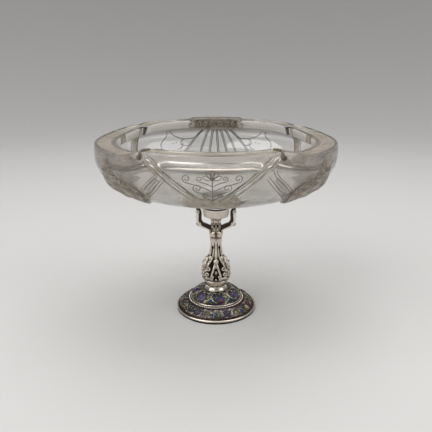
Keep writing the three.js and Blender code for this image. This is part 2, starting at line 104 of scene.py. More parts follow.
def polar(radius: float, azimuth: float, height: float) -> Vector:
    """The point at a radius, an azimuth and a height."""
    turn = math.radians(azimuth)
    return Vector((radius * math.sin(turn), -radius * math.cos(turn), height))


def arc(
    centre: tuple[float, float], across: float, up: float, start: float, end: float, steps: int
) -> list[tuple[float, float]]:
    """Points on an arc of an ellipse.

    Args:
        centre: its middle, as (radius, height).
        across: half its width.
        up: half its height.
        start: angle of the first point, in degrees from outwards towards up.
        end: angle of the last point.
        steps: number of stretches between the points.

    Returns:
        The points, as (radius, height).
    """
    angles = [math.radians(mix(start, end, i / steps)) for i in range(steps + 1)]
    return [(centre[0] + across * math.cos(a), centre[1] + up * math.sin(a)) for a in angles]


def curve(points: Sequence[Sequence[float]], steps: int) -> list[Vector]:
    """A smooth curve through points.

    Args:
        points: two or more points, of two or three numbers each.
        steps: number of stretches between one point and the next.

    Returns:
        The points of the curve.
    """
    knots = [Vector(point) for point in points]
    made = [knots[0]]
    for i in range(len(knots) - 1):
        before = knots[max(i - 1, 0)]
        start, end = knots[i], knots[i + 1]
        after = knots[min(i + 2, len(knots) - 1)]
        for j in range(1, steps + 1):
            t = j / steps
            made.append(
                0.5
                * (
                    2 * start
                    + (end - before) * t
                    + (2 * before - 5 * start + 4 * end - after) * t * t
                    + (3 * start - before - 3 * end + after) * t**3
                )
            )
    return made


def spiral(
    centre: Vector, across: Vector, up: Vector, radius: float, turns: float, steps: int = 22
) -> list[Vector]:
    """A volute that winds in from its outer end.

    Args:
        centre: its eye.
        across: unit vector from the eye to the outer end.
        up: unit vector towards which it first turns.
        radius: of the outer end.
        turns: number of turns.
        steps: number of stretches between the points.

    Returns:
        The points from the outer end to the eye.
    """
    made = []
    for i in range(steps + 1):
        share = i / steps
        turn = math.tau * turns * share
        reach = radius * (1 - 0.84 * share)
        made.append(centre + across * (reach * math.cos(turn)) + up * (reach * math.sin(turn)))
    return made


# Modelling, with the operators that a modeller uses by hand


def let_go() -> None:
    """Leaves edit mode and deselects every object."""
    active = bpy.context.view_layer.objects.active
    if active is not None and active.mode != "OBJECT":
        bpy.ops.object.mode_set(mode="OBJECT")
    bpy.ops.object.select_all(action="DESELECT")


def pick(*objects: Object) -> None:
    """Selects some objects alone, and makes the first one active.

    Args:
        objects: what to select.
    """
    let_go()
    for obj in objects:
        obj.select_set(True)
    bpy.context.view_layer.objects.active = objects[0]


def tapered(start: float, end: float) -> Callable[[float], float]:
    """How a wire's thickness goes evenly from one end to the other."""
    return lambda share: mix(start, end, share)


def smoothed(obj: Object, angle: float = SMOOTH_ANGLE) -> Object:
    """Shades an object smooth.

    Args:
        obj: the object.
        angle: edges sharper than this stay sharp, in degrees.

    Returns:
        The same object.
    """
    pick(obj)
    bpy.ops.object.shade_smooth_by_angle(angle=math.radians(angle))
    return obj


def welded() -> None:
    """Merges the edited mesh's doubled vertices."""
    bpy.ops.mesh.select_all(action="SELECT")
    bpy.ops.mesh.remove_doubles(threshold=WELD)


def sealed(inwards: bool = False) -> None:
    """Merges the edited mesh's doubled vertices, then turns its faces the right way.

    Args:
        inwards: turns the faces inwards, as a backdrop's are.
    """
    welded()
    bpy.ops.mesh.normals_make_consistent(inside=inwards)


def modified(obj: Object, kind: str, **settings: object) -> None:
    """Adds a modifier and applies it.

    Args:
        obj: the object.
        kind: the modifier's type.
        settings: its properties.
    """
    pick(obj)
    modifier = obj.modifiers.new(kind.lower(), kind)
    for name, value in settings.items():
        setattr(modifier, name, value)
    bpy.ops.object.modifier_apply(modifier=modifier.name)


def drawn(name: str, outline: Outline) -> Object:
    """Draws an outline in the XZ plane, vertex by vertex, and stays in edit mode.

    Args:
        name: of the new object.
        outline: its points, as (x, z).

    Returns:
        The object, with its last vertex selected.
    """
    let_go()
    bpy.ops.mesh.primitive_plane_add(size=MM, location=(0, 0, 0))
    obj = bpy.context.object
    obj.name = name
    bpy.ops.object.mode_set(mode="EDIT")
    bpy.ops.mesh.merge(type="CENTER")
    bpy.ops.transform.translate(value=(outline[0][0], 0, outline[0][1]))
    for before, after in zip(outline, outline[1:]):
        step = (after[0] - before[0], 0, after[1] - before[1])
        bpy.ops.mesh.extrude_vertices_move(TRANSFORM_OT_translate={"value": step})
    return obj


def spun(name: str, outline: Outline, steps: int = 96, closed: bool = True) -> Object:
    """Turns an outline round the Z axis, as on a lathe.

    Args:
        name: of the new object.
        outline: points as (radius, height).
        steps: number of faces round the axis.
        closed: joins the last point to the first. Without it both ends lie on the axis.

    Returns:
        The closed, smooth body.
    """
    obj = drawn(name, [*outline, outline[0]] if closed else outline)
    welded()
    bpy.ops.mesh.spin(steps=steps, angle=math.tau, center=(0, 0, 0), axis=(0, 0, 1))
    sealed()
    return smoothed(obj)


def plate(name: str, outline: Outline, thickness: float, rounding: float) -> Object:
    """Cuts a plate from an outline in the XZ plane and rounds its edges.

    Args:
        name: of the new object.
        outline: points as (x, z).
        thickness: across Y, with the plane in its middle.
        rounding: width of the bevel.

    Returns:
        The plate.
    """
    obj = drawn(name, [*outline, outline[0]])
    welded()
    bpy.ops.mesh.edge_face_add()
    bpy.ops.transform.translate(value=(0, -thickness / 2, 0))
    bpy.ops.mesh.extrude_region_move(TRANSFORM_OT_translate={"value": (0, thickness, 0)})
    sealed()
    modified(obj, "BEVEL", width=rounding, segments=3, limit_method="ANGLE")
    return smoothed(obj)


def sideways(path: Sequence[Vector]) -> list[Vector]:
    """The unit vectors across a path in the XZ plane.

    Args:
        path: points as (x, z).

    Returns:
        One vector for each point, to the right of the path.
    """
    made = []
    for before, after in zip([path[0], *path[:-1]], [*path[1:], path[-1]]):
        along = (after - before).normalized()
        made.append(Vector((along.y, -along.x)))
    return made


def ribbon_outline(path: Sequence[Vector], width: Callable[[float], float]) -> Outline:
    """The outline of a strap that follows a path in the XZ plane.

    Args:
        path: points as (x, z).
        width: the strap's width at each share of its length.

    Returns:
        The points up one side and back down the other.
    """
    last = len(path) - 1
    halves = [side * (width(i / last) / 2) for i, side in enumerate(sideways(path))]
    outer = [here + half for here, half in zip(path, halves)]
    inner = [here - half for here, half in zip(path, halves)]
    return [*outer, *reversed(inner)]


def tubes(
    name: str,
    paths: Iterable[Sequence[Vector]],
    radius: float,
    sides: int = 2,
    swell: Callable[[float], float] | None = None,
) -> Object:
    """Round wires along paths, as one mesh.

    Args:
        name: of the new object.
        paths: the points that each wire follows.
        radius: of the wire.
        sides: bevel resolution, where 0 gives 4 sides, 1 gives 6 and 2 gives 8.
        swell: scales the radius at each share of a wire's length.

    Returns:
        The wires, closed at their ends.
    """
    data = bpy.data.curves.new(name, "CURVE")
    data.dimensions = "3D"
    data.bevel_depth = radius
    data.bevel_resolution = sides
    data.use_fill_caps = True
    for path in paths:
        line = data.splines.new("POLY")
        line.points.add(len(path) - 1)
        for i, (knot, place) in enumerate(zip(line.points, path)):
            knot.co = (*place, 1.0)
            knot.radius = swell(i / (len(path) - 1)) if swell else 1.0
    obj = bpy.data.objects.new(name, data)
    bpy.context.scene.collection.objects.link(obj)
    pick(obj)
    bpy.ops.object.convert(target="MESH")
    return smoothed(bpy.context.object, 60)


def ball(name: str, place: Vector, size: tuple[float, float, float], sides: int = 16) -> Object:
    """A drop or bead with its place in its mesh.

    Args:
        name: of the new object.
        place: its middle.
        size: half its width along X, Y and Z.
        sides: faces round it.

    Returns:
        The bead.
    """
    let_go()
    bpy.ops.mesh.primitive_uv_sphere_add(
        segments=sides, ring_count=max(sides // 2, 4), radius=1, location=(0, 0, 0)
    )
    obj = bpy.context.object
    obj.name = name
    obj.data.transform(Matrix.Translation(place) @ Matrix.Diagonal((*size, 1)))
    return smoothed(obj, 180)


def joined(name: str, *objects: Object) -> Object:
    """Joins objects into one.

    Args:
        name: of the object that they make.
        objects: what to join.

    Returns:
        That object.
    """
    pick(*objects)
    if len(objects) > 1:
        bpy.ops.object.join()
    obj = bpy.context.object
    obj.name = name
    obj.data.name = name
    return obj


def copied(obj: Object, move: Matrix) -> Object:
    """Copies an object with a mesh of its own.

    Args:
        obj: what to copy.
        move: how the copy's mesh is moved.

    Returns:
        The copy.
    """
    copy = obj.copy()
    copy.data = obj.data.copy()
    copy.data.transform(move)
    bpy.context.scene.collection.objects.link(copy)
    return copy


def ringed(name: str, model: Object, azimuths: Iterable[float]) -> Object:
    """Copies a model round the Z axis and joins the copies.

    Args:
        name: of the finished piece.
        model: what repeats. It isn't kept.
        azimuths: how far each copy is turned, in degrees.

    Returns:
        The joined copies.
    """
    copies = [copied(model, Matrix.Rotation(math.radians(a), 4, "Z")) for a in azimuths]
    bpy.data.objects.remove(model)
    return joined(name, *copies)


def marked(obj: Object, attribute: str, values: np.ndarray) -> Object:
    """Stores a value at each vertex for the material to read.

    Args:
        obj: the piece.
        attribute: its name.
        values: one number for each vertex.

    Returns:
        The same piece.
    """
    mark = obj.data.attributes.new(attribute, "FLOAT", "POINT")
    mark.data.foreach_set("value", np.asarray(values, np.float32))
    return obj


def chased(obj: Object, depth: Relief, darkest: float) -> Object:
    """Moves a turned body's vertices in or out from its axis, as a chaser raises silver.

    Args:
        obj: the body.
        depth: how far out each vertex goes, from arrays of azimuth, radius and height.
        darkest: how far in a place lies that is wholly dark: sulphide in chased hollows, and painted
            shade in the deep dents that stand for piercings.

    Returns:
        The same body.
    """
    places = np.empty(len(obj.data.vertices) * 3, np.float64)
    obj.data.vertices.foreach_get("co", places)
    places = places.reshape(-1, 3)
    radius = np.hypot(places[:, 0], places[:, 1])
    azimuth = np.degrees(np.arctan2(places[:, 0], -places[:, 1]))
    moved = depth(azimuth, radius, places[:, 2])
    places[:, :2] *= (1 + moved / np.maximum(radius, MM))[:, None]
    obj.data.vertices.foreach_set("co", places.ravel())
    obj.data.update()
    return marked(obj, RECESS_ATTRIBUTE, np.clip(-moved / darkest, 0, 1))


# Finishes


def linear(code: str) -> tuple[float, float, float, float]:
    """A colour for a shader.

    Args:
        code: its sRGB hex code, such as "C8C0B4".

    Returns:
        The colour in linear light, with an alpha of 1.
    """
    parts = [int(code[i : i + 2], 16) / 255 for i in (0, 2, 4)]
    made = [p / 12.92 if p <= 0.04045 else ((p + 0.055) / 1.055) ** 2.4 for p in parts]
    return (*made, 1.0)


def plug(node: Node, inputs: dict) -> None:
    """Gives a node's inputs their links and values.

    Args:
        node: the node.
        inputs: for each input, by name or place, a node or socket to link, or a value to set.
    """
    for key, value in inputs.items():
        if isinstance(value, Node):
            value = value.outputs[0]
        if isinstance(value, NodeSocket):
            node.id_data.links.new(value, node.inputs[key])
        else:
            node.inputs[key].default_value = value


def add_node(material: Material, kind: str, inputs: dict | None = None, **settings: object) -> Node:
    """Adds a node with its settings and links.

    Args:
        material: what it is added to.
        kind: the node's type, without the leading ShaderNode.
        inputs: its inputs, as plug takes them.
        settings: the node's properties. stops gives a ramp its (position, hex colour) pairs.

    Returns:
        The node.
    """
    node = material.node_tree.nodes.new("ShaderNode" + kind)
    stops = settings.pop("stops", ())
    for name, value in settings.items():
        setattr(node, name, value)
    plug(node, inputs or {})
    for index, (position, code) in enumerate(stops):
        ramp = node.color_ramp.elements
        element = ramp[index] if index < 2 else ramp.new(1.0)
        element.position = position
        element.color = linear(code)
    return node


def blank(name: str) -> tuple[Material, Node]:
    """Starts a material.

    Args:
        name: of the material.

    Returns:
        The material and its shader.
    """
    material = bpy.data.materials.new(name)
    material.use_nodes = True
    return material, material.node_tree.nodes["Principled BSDF"]


@dataclass(frozen=True)
class Silver:
    """Cast or turned silver, darkened with sulphur and rubbed bright again on its high places.

    The eye sees a warm white metal whose hollows and joints stay brown to black.
    """

    name: str
    bright: str = "E4DBCE"
    worn: str = "A39583"
    dark: str = "2A231D"
    roughness: float = 0.24
    tarnished: float = 0.62  # the roughness of a dark hollow
    patina: float = 4 * MM  # size of the uneven patches
    grain: float = 0.9 * MM  # size of the cast surface's unevenness
    grain_height: float = 0.12 * MM
    grain_depth: float = 0.25
    hollow: float = 2.8 * MM  # how wide a gap still counts as a hollow
    full: float = 0.62  # how open a place must be to be rubbed fully bright
    metallic: float = 1.0  # less than 1 where pickling has left a white, frosted skin

    def material(self) -> Material:
        """Makes the finish.

        Returns:
            Its material.
        """
        made, shader = blank(self.name)
        place = add_node(made, "TexCoord").outputs["Object"]
        sky = add_node(made, "AmbientOcclusion", {"Distance": self.hollow}, samples=8).outputs["AO"]
        patina = add_node(
            made, "TexNoise", {"Vector": place, "Scale": 1 / self.patina, "Detail": 4.0}
        )
        stain = add_node(made, "Math", {0: patina, 1: 0.5}, operation="MULTIPLY")
        shown = add_node(made, "Math", {0: sky, 1: stain}, operation="SUBTRACT")
        # the recess darkening: sulphide in chased hollows, and painted shade where a deep dent stands
        # for a piercing
        recess = add_node(made, "Attribute", attribute_name=RECESS_ATTRIBUTE).outputs["Fac"]
        shown = add_node(made, "Math", {0: shown, 1: recess}, operation="SUBTRACT")
        stops = [(0.12, self.dark), (0.36, self.worn), (self.full, self.bright), (1.0, self.bright)]
        colour = add_node(made, "ValToRGB", {"Fac": shown}, stops=stops)
        span = {"From Min": 0.15, "From Max": 0.65, "To Min": self.tarnished}
        rough = add_node(made, "MapRange", {"Value": shown, **span, "To Max": self.roughness})
        cast = add_node(made, "TexNoise", {"Vector": place, "Scale": 1 / self.grain, "Detail": 3.0})
        depth = {"Strength": self.grain_depth, "Distance": self.grain_height}
        relief = add_node(made, "Bump", {"Height": cast, **depth})
        plug(shader, {"Base Color": colour, "Roughness": rough, "Normal": relief})
        plug(shader, {"Metallic": self.metallic})
        return made


@dataclass(frozen=True)
class Mottled:
    """A surface whose colour shifts from patch to patch between two tones."""

    name: str
    colour: str
    shade: str
    patch: float  # size of the uneven patches
    roughness: float
    detail: float = 2.0
    stops: tuple[float, float] = (0.38, 0.62)  # where the noise is all shade, and all colour
    ior: float = 1.5
    metallic: float = 0.0
    transmission: float = 0.0

    def material(self) -> Material:
        """Makes the finish.

        Returns:
            Its material.
        """
        made, shader = blank(self.name)
        place = add_node(made, "TexCoord").outputs["Object"]
        size = {"Scale": 1 / self.patch, "Detail": self.detail}
        noise = add_node(made, "TexNoise", {"Vector": place, **size})
        stops = zip(self.stops, (self.shade, self.colour))
        colour = add_node(made, "ValToRGB", {"Fac": noise}, stops=stops)
        plug(shader, {"Base Color": colour, "Roughness": self.roughness, "IOR": self.ior})
        plug(shader, {"Metallic": self.metallic, "Transmission Weight": self.transmission})
        return made


@dataclass(frozen=True)
class Enamel(Mottled):
    """Vitreous enamel, painted and fired, so it is glossy with a slight unevenness of colour."""

    patch: float = 1.6 * MM
    roughness: float = 0.22
    ior: float = 1.52


@dataclass(frozen=True)
class WheelCut(Mottled):
    """The matt lines of wheel engraving, which catch the light as warm grey threads."""

    colour: str = "A0968A"
    shade: str = "62584B"
    patch: float = 1.2 * MM
    roughness: float = 0.55
    stops: tuple[float, float] = (0.3, 0.6)
    ior: float = 1.545
    transmission: float = 0.25


@dataclass(frozen=True)
class Plain(Mottled):
    """A hidden piece's finish: a dull surface with fine grain, such as brass or setting cement."""

    detail: float = 4.0
    stops: tuple[float, float] = (0.35, 0.65)


@dataclass(frozen=True)
class EnamelGround:
    """The bands' ground: enamel painted with fine leaves and sprigs too small to make out.

    The eye sees a warm grey ground broken up by lilac, olive and dark spots.
    """

    name: str
    sprig: float = 2.1 * MM  # from one painted sprig to the next
    swirl: float = 3 * MM  # size of the wandering in the painter's rows

    def material(self) -> Material:
        """Makes the finish.

        Returns:
            Its material.
        """
        made, shader = blank(self.name)
        place = add_node(made, "TexCoord").outputs["Object"]
        swirl = add_node(made, "TexNoise", {"Vector": place, "Scale": 1 / self.swirl, "Detail": 2.0})
        bend = {"Fac": 0.003, "Color1": place, "Color2": swirl.outputs["Color"]}
        rows = {"Vector": add_node(made, "MixRGB", bend, blend_type="ADD"), "Scale": 1 / self.sprig}
        leaf = add_node(made, "TexVoronoi", rows).outputs["Color"]
        leaf = add_node(made, "SeparateColor", {0: leaf})
        stops = [
            (0.0, "1A141F"), (0.20, "43394A"), (0.36, "8A7D6C"), (0.52, "B9AB94"), (0.62, "574A63"),
            (0.76, "35421F"), (0.88, "221830"),
        ]
        colour = add_node(made, "ValToRGB", {"Fac": leaf}, stops=stops)
        colour.color_ramp.interpolation = "CONSTANT"
        edge = add_node(made, "TexVoronoi", rows, feature="DISTANCE_TO_EDGE")
        edge = edge.outputs["Distance"]
        line = add_node(made, "ValToRGB", {"Fac": edge}, stops=[(0.0, "2E2822"), (0.12, "FFFFFF")])
        both = {"Fac": 0.75, "Color1": colour, "Color2": line}
        painted = add_node(made, "MixRGB", both, blend_type="MULTIPLY")
        plug(shader, {"Base Color": painted, "Roughness": 0.26, "IOR": 1.52})
        return made


@dataclass(frozen=True)
class RockCrystal:
    """Rock crystal, polished clear, and left matt and faintly warm where the wheel has cut it."""

    name: str
    clear: str = "F4F3F1"
    matt: str = "CDC3B2"
    cloud: float = 5 * MM  # size of the uneven patches in the matt surface
    wave: float = 14 * MM  # from one soft wave in the hand polish to the next

    def material(self) -> Material:
        """Makes the finish.

        Returns:
            Its material.
        """
        made, shader = blank(self.name)
        place = add_node(made, "TexCoord").outputs["Object"]
        cut = add_node(made, "Attribute", attribute_name=GROUND_ATTRIBUTE).outputs["Fac"]
        clouds = add_node(made, "TexNoise", {"Vector": place, "Scale": 1 / self.cloud, "Detail": 5.0})
        span = {"From Min": 0.35, "From Max": 0.65, "To Min": 0.55}
        uneven = add_node(made, "MapRange", {"Value": clouds, **span})
        matt = add_node(made, "Math", {0: cut, 1: uneven}, operation="MULTIPLY")
        stops = [(0.0, self.clear), (0.9, self.matt)]
        colour = add_node(made, "ValToRGB", {"Fac": matt}, stops=stops)
        span = {"From Max": 0.8, "To Min": 0.0, "To Max": 0.42}
        rough = add_node(made, "MapRange", {"Value": matt, **span})
        wave = add_node(made, "TexNoise", {"Vector": place, "Scale": 1 / self.wave, "Detail": 1.0})
        relief = add_node(made, "Bump", {"Height": wave, "Strength": 0.5, "Distance": 0.5 * MM})
        plug(shader, {"Base Color": colour, "Roughness": rough, "Normal": relief})
        plug(shader, {"Transmission Weight": 1.0, "IOR": 1.545})
        return made


@dataclass(frozen=True)
class MattCrystal:
    """Rock crystal left matt by the wheel: milky, warm, unevenly stained and half see-through, with
    painted shade in its grooves.
    """

    name: str
    pale: str = "DCD4C7"
    stained: str = "A2957F"
    # colour of the painted shade in the carving's grooves, and of the shells' hatching
    shade_and_hatching: str = "5F5344"
    marble: float = 6 * MM  # size of the marbled patches
    stipple: float = 0.9 * MM  # size of the wheel's marks

    def material(self) -> Material:
        """Makes the finish.

        Returns:
            Its material.
        """
        made, shader = blank(self.name)
        place = add_node(made, "TexCoord").outputs["Object"]
        size = {"Scale": 1 / self.marble, "Detail": 5.0, "Distortion": 0.7}
        veins = add_node(made, "TexNoise", {"Vector": place, **size})
        marks = add_node(made, "TexNoise", {"Vector": place, "Scale": 1 / self.stipple, "Detail": 2.0})
        both = add_node(made, "MixRGB", {"Fac": 0.35, "Color1": veins, "Color2": marks})
        stops = [(0.4, self.stained), (0.56, self.pale)]
        colour = add_node(made, "ValToRGB", {"Fac": both}, stops=stops)
        # painted shade: where the recess attribute is set, the colour is mixed towards the dark one
        groove = add_node(made, "Attribute", attribute_name=RECESS_ATTRIBUTE).outputs["Fac"]
        shade_and_hatching = {"Fac": groove, "Color1": colour, "Color2": linear(self.shade_and_hatching)}
        shown = add_node(made, "MixRGB", shade_and_hatching)
        relief = add_node(made, "Bump", {"Height": marks, "Strength": 0.5, "Distance": 0.2 * MM})
        plug(shader, {"Base Color": shown, "Normal": relief, "Roughness": 0.38})
        plug(shader, {"Transmission Weight": 0.62, "IOR": 1.545})
        return made


class Workshop:
    """Every finish of the tazza, made once."""

    def __init__(self) -> None:
        """Makes the materials."""
        self.cast = Silver("silver_cast_oxidised").material()
        self.turned = Silver(
            "silver_turned_bright", grain=0.6 * MM, grain_depth=0.08, roughness=0.17
        ).material()
        self.beaded = Silver(
            "silver_beads_rubbed", "F0E8DC", hollow=0.8 * MM, grain_depth=0.05, roughness=0.2
        ).material()
        self.stippled = Silver(
            "silver_stippled", "F2EADF", "B4A693", roughness=0.42, grain=0.8 * MM,
            grain_depth=0.9, full=0.86, metallic=0.55,
        ).material()
        # Dark silver, for the dark joints, seats, web and bulb; on the plinth's upright face it is a
        # painted reflection of a dark floor.
        self.dark_and_painted_shade = Silver(
            "silver_dark_and_painted_shade", "4A4038", "2E2722", "14100D", roughness=0.5
        ).material()
        self.ground = EnamelGround("enamel_painted_ground").material()
        self.violet = Enamel("enamel_violet", "1F1034", "0D0618").material()
        self.lilac = Enamel("enamel_lilac", "6C5A88", "40325A").material()
        self.blue = Enamel("enamel_blue", "1E2A7C", "0E1440").material()
        self.green = Enamel("enamel_green", "2C5226", "163018").material()
        self.lime = Enamel("enamel_yellow_green", "68762A", "3C4A1A").material()
        self.red = Enamel("enamel_red", "5A1428", "300914").material()
        self.gold = Enamel("enamel_yellow", "B8963C", "86681F").material()
        self.crystal = RockCrystal("rock_crystal_polished_and_cut").material()
        self.matt = MattCrystal("rock_crystal_matt_ground").material()
        self.carved = MattCrystal(
            "rock_crystal_matt_carved", "AFA290", "6F6353", marble=3 * MM
        ).material()
        self.engraving = WheelCut("rock_crystal_wheel_engraving").material()
        self.brass = Plain(
            "brass_turned_dull", "B89B5E", "8E7440", 0.5 * MM, 0.42, metallic=1.0
        ).material()
        self.cement = Plain("setting_cement", "DDD5C2", "BEB49E", 0.8 * MM, 0.9).material()


def finished(obj: Object, finish: Material | None, slot: Slot, *replaced: str) -> Object:
    """Gives a piece its finish and its place on the body.

    Args:
        obj: the piece.
        finish: its material, or None where its parts are dressed already.
        slot: the record's slot. Not used.
        replaced: the CAD nodes that it stands for.

    Returns:
        The piece.
    """
    if finish:
        dressed(obj, finish)
    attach(obj, "root")
    if replaced:
        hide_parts(*replaced)
    log.info("%s: %d faces", obj.name, len(obj.data.polygons))
    return obj


def dressed(obj: Object, *finishes: Material) -> Object:
    """Gives a mesh its materials.

    Args:
        obj: the piece, or a part of one that isn't joined to the rest yet.
        finishes: its materials.

    Returns:
        The same object.
    """
    obj.data.materials.clear()
    for finish in finishes:
        obj.data.materials.append(finish)
    return obj


# The foot


@dataclass
class Foot:
    """The round foot: base ring, two enamelled bands, beads, a plain wire and the neck."""

    shop: Workshop
    base_radius: float = 0.0428
    base_inner: float = 0.0384
    plinth: float = 0.0013
    moulding: float = 0.0023
    base_top: float = 0.0036
    slope_foot: tuple[float, float] = (0.0398, 0.0053)  # where the lower band starts
    slope_head: tuple[float, float] = (0.0312, 0.0109)  # where it ends
    slope_hump: float = 0.0006  # how far its middle stands out
    ledge: float = 0.0106
    bead_circle: float = 0.0289
    bead_radius: float = 0.00094
    bead_count: int = 88
    wire_circle: float = 0.0266
    wire_thickness: float = 0.0017
    joint_hoops: Sequence[tuple[float, float, float]] = (
        (0.0400, 0.0049, 0.0012), (0.0309, 0.0110, 0.0011), (0.0256, 0.0128, 0.0012),
    )  # radius, height and thickness of the dark hoops beside the enamel
    dome_radius: float = 0.0258
    dome_top_radius: float = 0.0114
    dome_top: float = 0.0214
    bore: float = 0.0024
    neck_waist: float = 0.0097
    neck_foot: float = 0.0112
    neck_top_radius: float = 0.0126
    neck_top: float = 0.0318
    ring_radius: float = 0.0142
    ring_height: float = 0.0028
    enamel_lift: float = 0.0007
    flowers: int = 7
    lower_phase: float = 19.0  # azimuth of the lower band's first flower
    upper_phase: float = 12.0  # azimuth of the upper band's first flower

    def build(self) -> None:
        """Builds and dresses every piece of the foot."""
        self.base_ring()
        self.bands()
        self.beads()
        self.wire()
        self.neck()
        self.neck_ring()
        for node in ("foot_step", "foot_dome"):
            finished(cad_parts[node], self.shop.cast, Slot.SILVER)

    def base_ring(self) -> None:
        """The plinth, painted dark as a reflection of a dark floor, and the bright half-round moulding
        on it.
        """
        inner, outer, half = self.base_inner, self.base_radius, self.moulding / 2
        edge, top = outer - 0.0003, self.plinth + 0.0004
        outline = [
            (inner, 0.0), (edge - 0.0002, 0.0), (edge, 0.0002), (edge, self.plinth - 0.0002),
            (edge - 0.0006, top), (inner, top),
        ]
        # painted reflection: the plinth's dark colour stands for a dark floor reflected in its upright
        # face
        plinth = dressed(spun("plinth", outline, FINE), self.shop.dark_and_painted_shade)
        outline = [
            (inner, self.plinth + 0.0002),
            (edge - 0.0010, self.plinth + 0.0002),
            *arc((outer - half, self.plinth + half + 0.0001), half, half, -70, 100, 12),
            (outer - 0.0029, self.base_top - 0.0006),
            (outer - 0.0034, self.base_top),
            (inner, self.base_top),
        ]
        moulding = dressed(spun("moulding", outline, FINE), self.shop.turned)
        finished(joined("base_ring_moulded", moulding, plinth), None, Slot.SILVER, "base_ring")

    def slope_point(self, share: float, lift: float = 0.0) -> tuple[float, float]:
        """A point on the lower band.

        Args:
            share: how far up the band.
            lift: off its surface.

        Returns:
            The point, as (radius, height).
        """
        out = 4 * share * (1 - share) * self.slope_hump + lift
        radius = mix(self.slope_foot[0], self.slope_head[0], share)
        height = mix(self.slope_foot[1], self.slope_head[1], share)
        return radius + out * 0.55, height + out * 0.84

    def dome_point(self, share: float, lift: float = 0.0) -> tuple[float, float]:
        """A point on the dome.

        Args:
            share: how far up the dome.
            lift: off its surface.

        Returns:
            The point, as (radius, height).
        """
        turn = math.radians(mix(4, 82, share))
        across = self.dome_radius - self.dome_top_radius + 0.0006
        up = self.dome_top - self.ledge - 0.0022
        outward = (math.cos(turn) * up, math.sin(turn) * across)
        length = math.hypot(*outward)
        return (
            self.dome_top_radius - 0.0002 + across * math.cos(turn) + lift * outward[0] / length,
            self.ledge + 0.0026 + up * math.sin(turn) + lift * outward[1] / length,
        )

    def bands(self) -> None:
        """The two enamelled bands: painted ground, raised flowers, silver tendrils."""
        grounds = (
            ("lower_enamel_ground", self.slope_point, 12, 0.0006, "lower_enamel_band"),
            ("upper_enamel_ground", self.dome_point, 20, 0.0004, "upper_enamel_dome"),
        )
        for name, surface, steps, inwards, node in grounds:
            skin = [surface(i / steps) for i in range(steps + 1)]
            skin += [(r - inwards, z - 0.0006) for r, z in reversed(skin)]
            finished(spun(name, skin, FINE), self.shop.ground, Slot.ENAMEL, node)
        shop = self.shop
        violet, lilac, blue, red = shop.violet, shop.lilac, shop.blue, shop.red
        heads = (violet, red, violet, blue, lilac, red, violet)
        self.flower_band("lower", self.slope_point, self.lower_phase, 0.0042, 0.46, heads)
        heads = (blue, lilac, violet, red, violet, blue, lilac)
        self.flower_band("upper", self.dome_point, self.upper_phase, 0.0046, 0.42, heads)
        self.tendrils("lower", self.slope_point, self.lower_phase, 0.46, 0.5)
        self.tendrils("upper", self.dome_point, self.upper_phase, 0.3, 0.4)
        self.cartouches()

    def on_band(
        self, surface: Surface, share: float, azimuth: float, lift: float = 0.0
    ) -> tuple[Vector, Matrix]:
        """A place on a band, and the turn of something that lies on it.

        Args:
            surface: slope_point or dome_point.
            share: how far up the band.
            azimuth: in degrees.
            lift: off the enamel ground.

        Returns:
            The place, and a matrix whose X runs round the band, Y up it and Z out of it.
        """
        here, above = (
            polar(radius, azimuth, height)
            for radius, height in (surface(share, lift), surface(share + 0.02, lift))
        )
        up = (above - here).normalized()
        across = polar(1, azimuth + 90, 0)
        out = across.cross(up)
        basis = Matrix((across, up, out)).transposed().to_4x4()
        return here, Matrix.Translation(here) @ basis

    def petal(
        self, enamel: Material, place: Matrix, turn: float, reach: float, width: float
    ) -> Object:
        """A raised petal or leaf of enamel.

        Args:
            enamel: its colour.
            place: the flower's, with Z out of the band.
            turn: its direction from the flower's middle, in degrees.
            reach: its length.
            width: its width.

        Returns:
            The petal.
        """
        leaf = ball("petal", Vector((0, 0, 0)), (reach / 2, width / 2, self.enamel_lift), 8)
        turned = Matrix.Rotation(math.radians(turn), 4, "Z") @ Matrix.Translation((reach / 2, 0, 0))
        leaf.data.transform(place @ turned)
        return dressed(leaf, enamel)

    def flower_band(
        self, name: str, surface: Surface, phase: float, reach: float, middle: float,
        heads: Sequence[Material],
    ) -> None:
        """Flowers and leaves round a band.

        Args:
            name: of the band.
            surface: slope_point or dome_point.
            phase: azimuth of the first flower.
            reach: length of a petal.
            middle: how far up the band the flowers sit.
            heads: the enamel of each flower.
        """
        shop = self.shop
        pitch = 360 / self.flowers
        parts = []
        for i, head in enumerate(heads):
            azimuth = phase + i * pitch
            place = self.on_band(surface, middle, azimuth)[1]
            second = {shop.violet: shop.lilac, shop.blue: shop.red}.get(head, shop.violet)
            for k in range(5):
                enamel = second if k in (2, 3) and head is shop.blue else head
                parts.append(self.petal(enamel, place, 90 + 72 * k, reach, reach * 1.05))
            for k in range(5):
                parts.append(self.petal(second, place, 54 + 72 * k, reach * 0.42, reach * 0.22))
            parts.append(self.petal(shop.gold, place, 0, reach * 0.24, reach * 0.3))
            for side, leaf in ((-1, shop.green), (1, shop.lime)):
                stem = self.on_band(surface, middle - 0.06, azimuth + side * pitch * 0.36)[1]
                for turn, size in ((64, 1.0), (132, 0.85), (-20, 0.8), (-96, 0.85)):
                    far = reach * size
                    parts.append(self.petal(leaf, stem, side * turn, far, far * 0.5))
            bud = self.on_band(surface, middle - 0.1, azimuth + pitch / 2)[1]
            tone = (shop.blue, shop.red, shop.blue, shop.lilac)[i % 4]
            for k in range(4):
                parts.append(self.petal(tone, bud, 45 + 90 * k, reach * 0.46, reach * 0.44))
        finished(joined(f"{name}_enamel_flowers", *parts), None, Slot.ENAMEL)

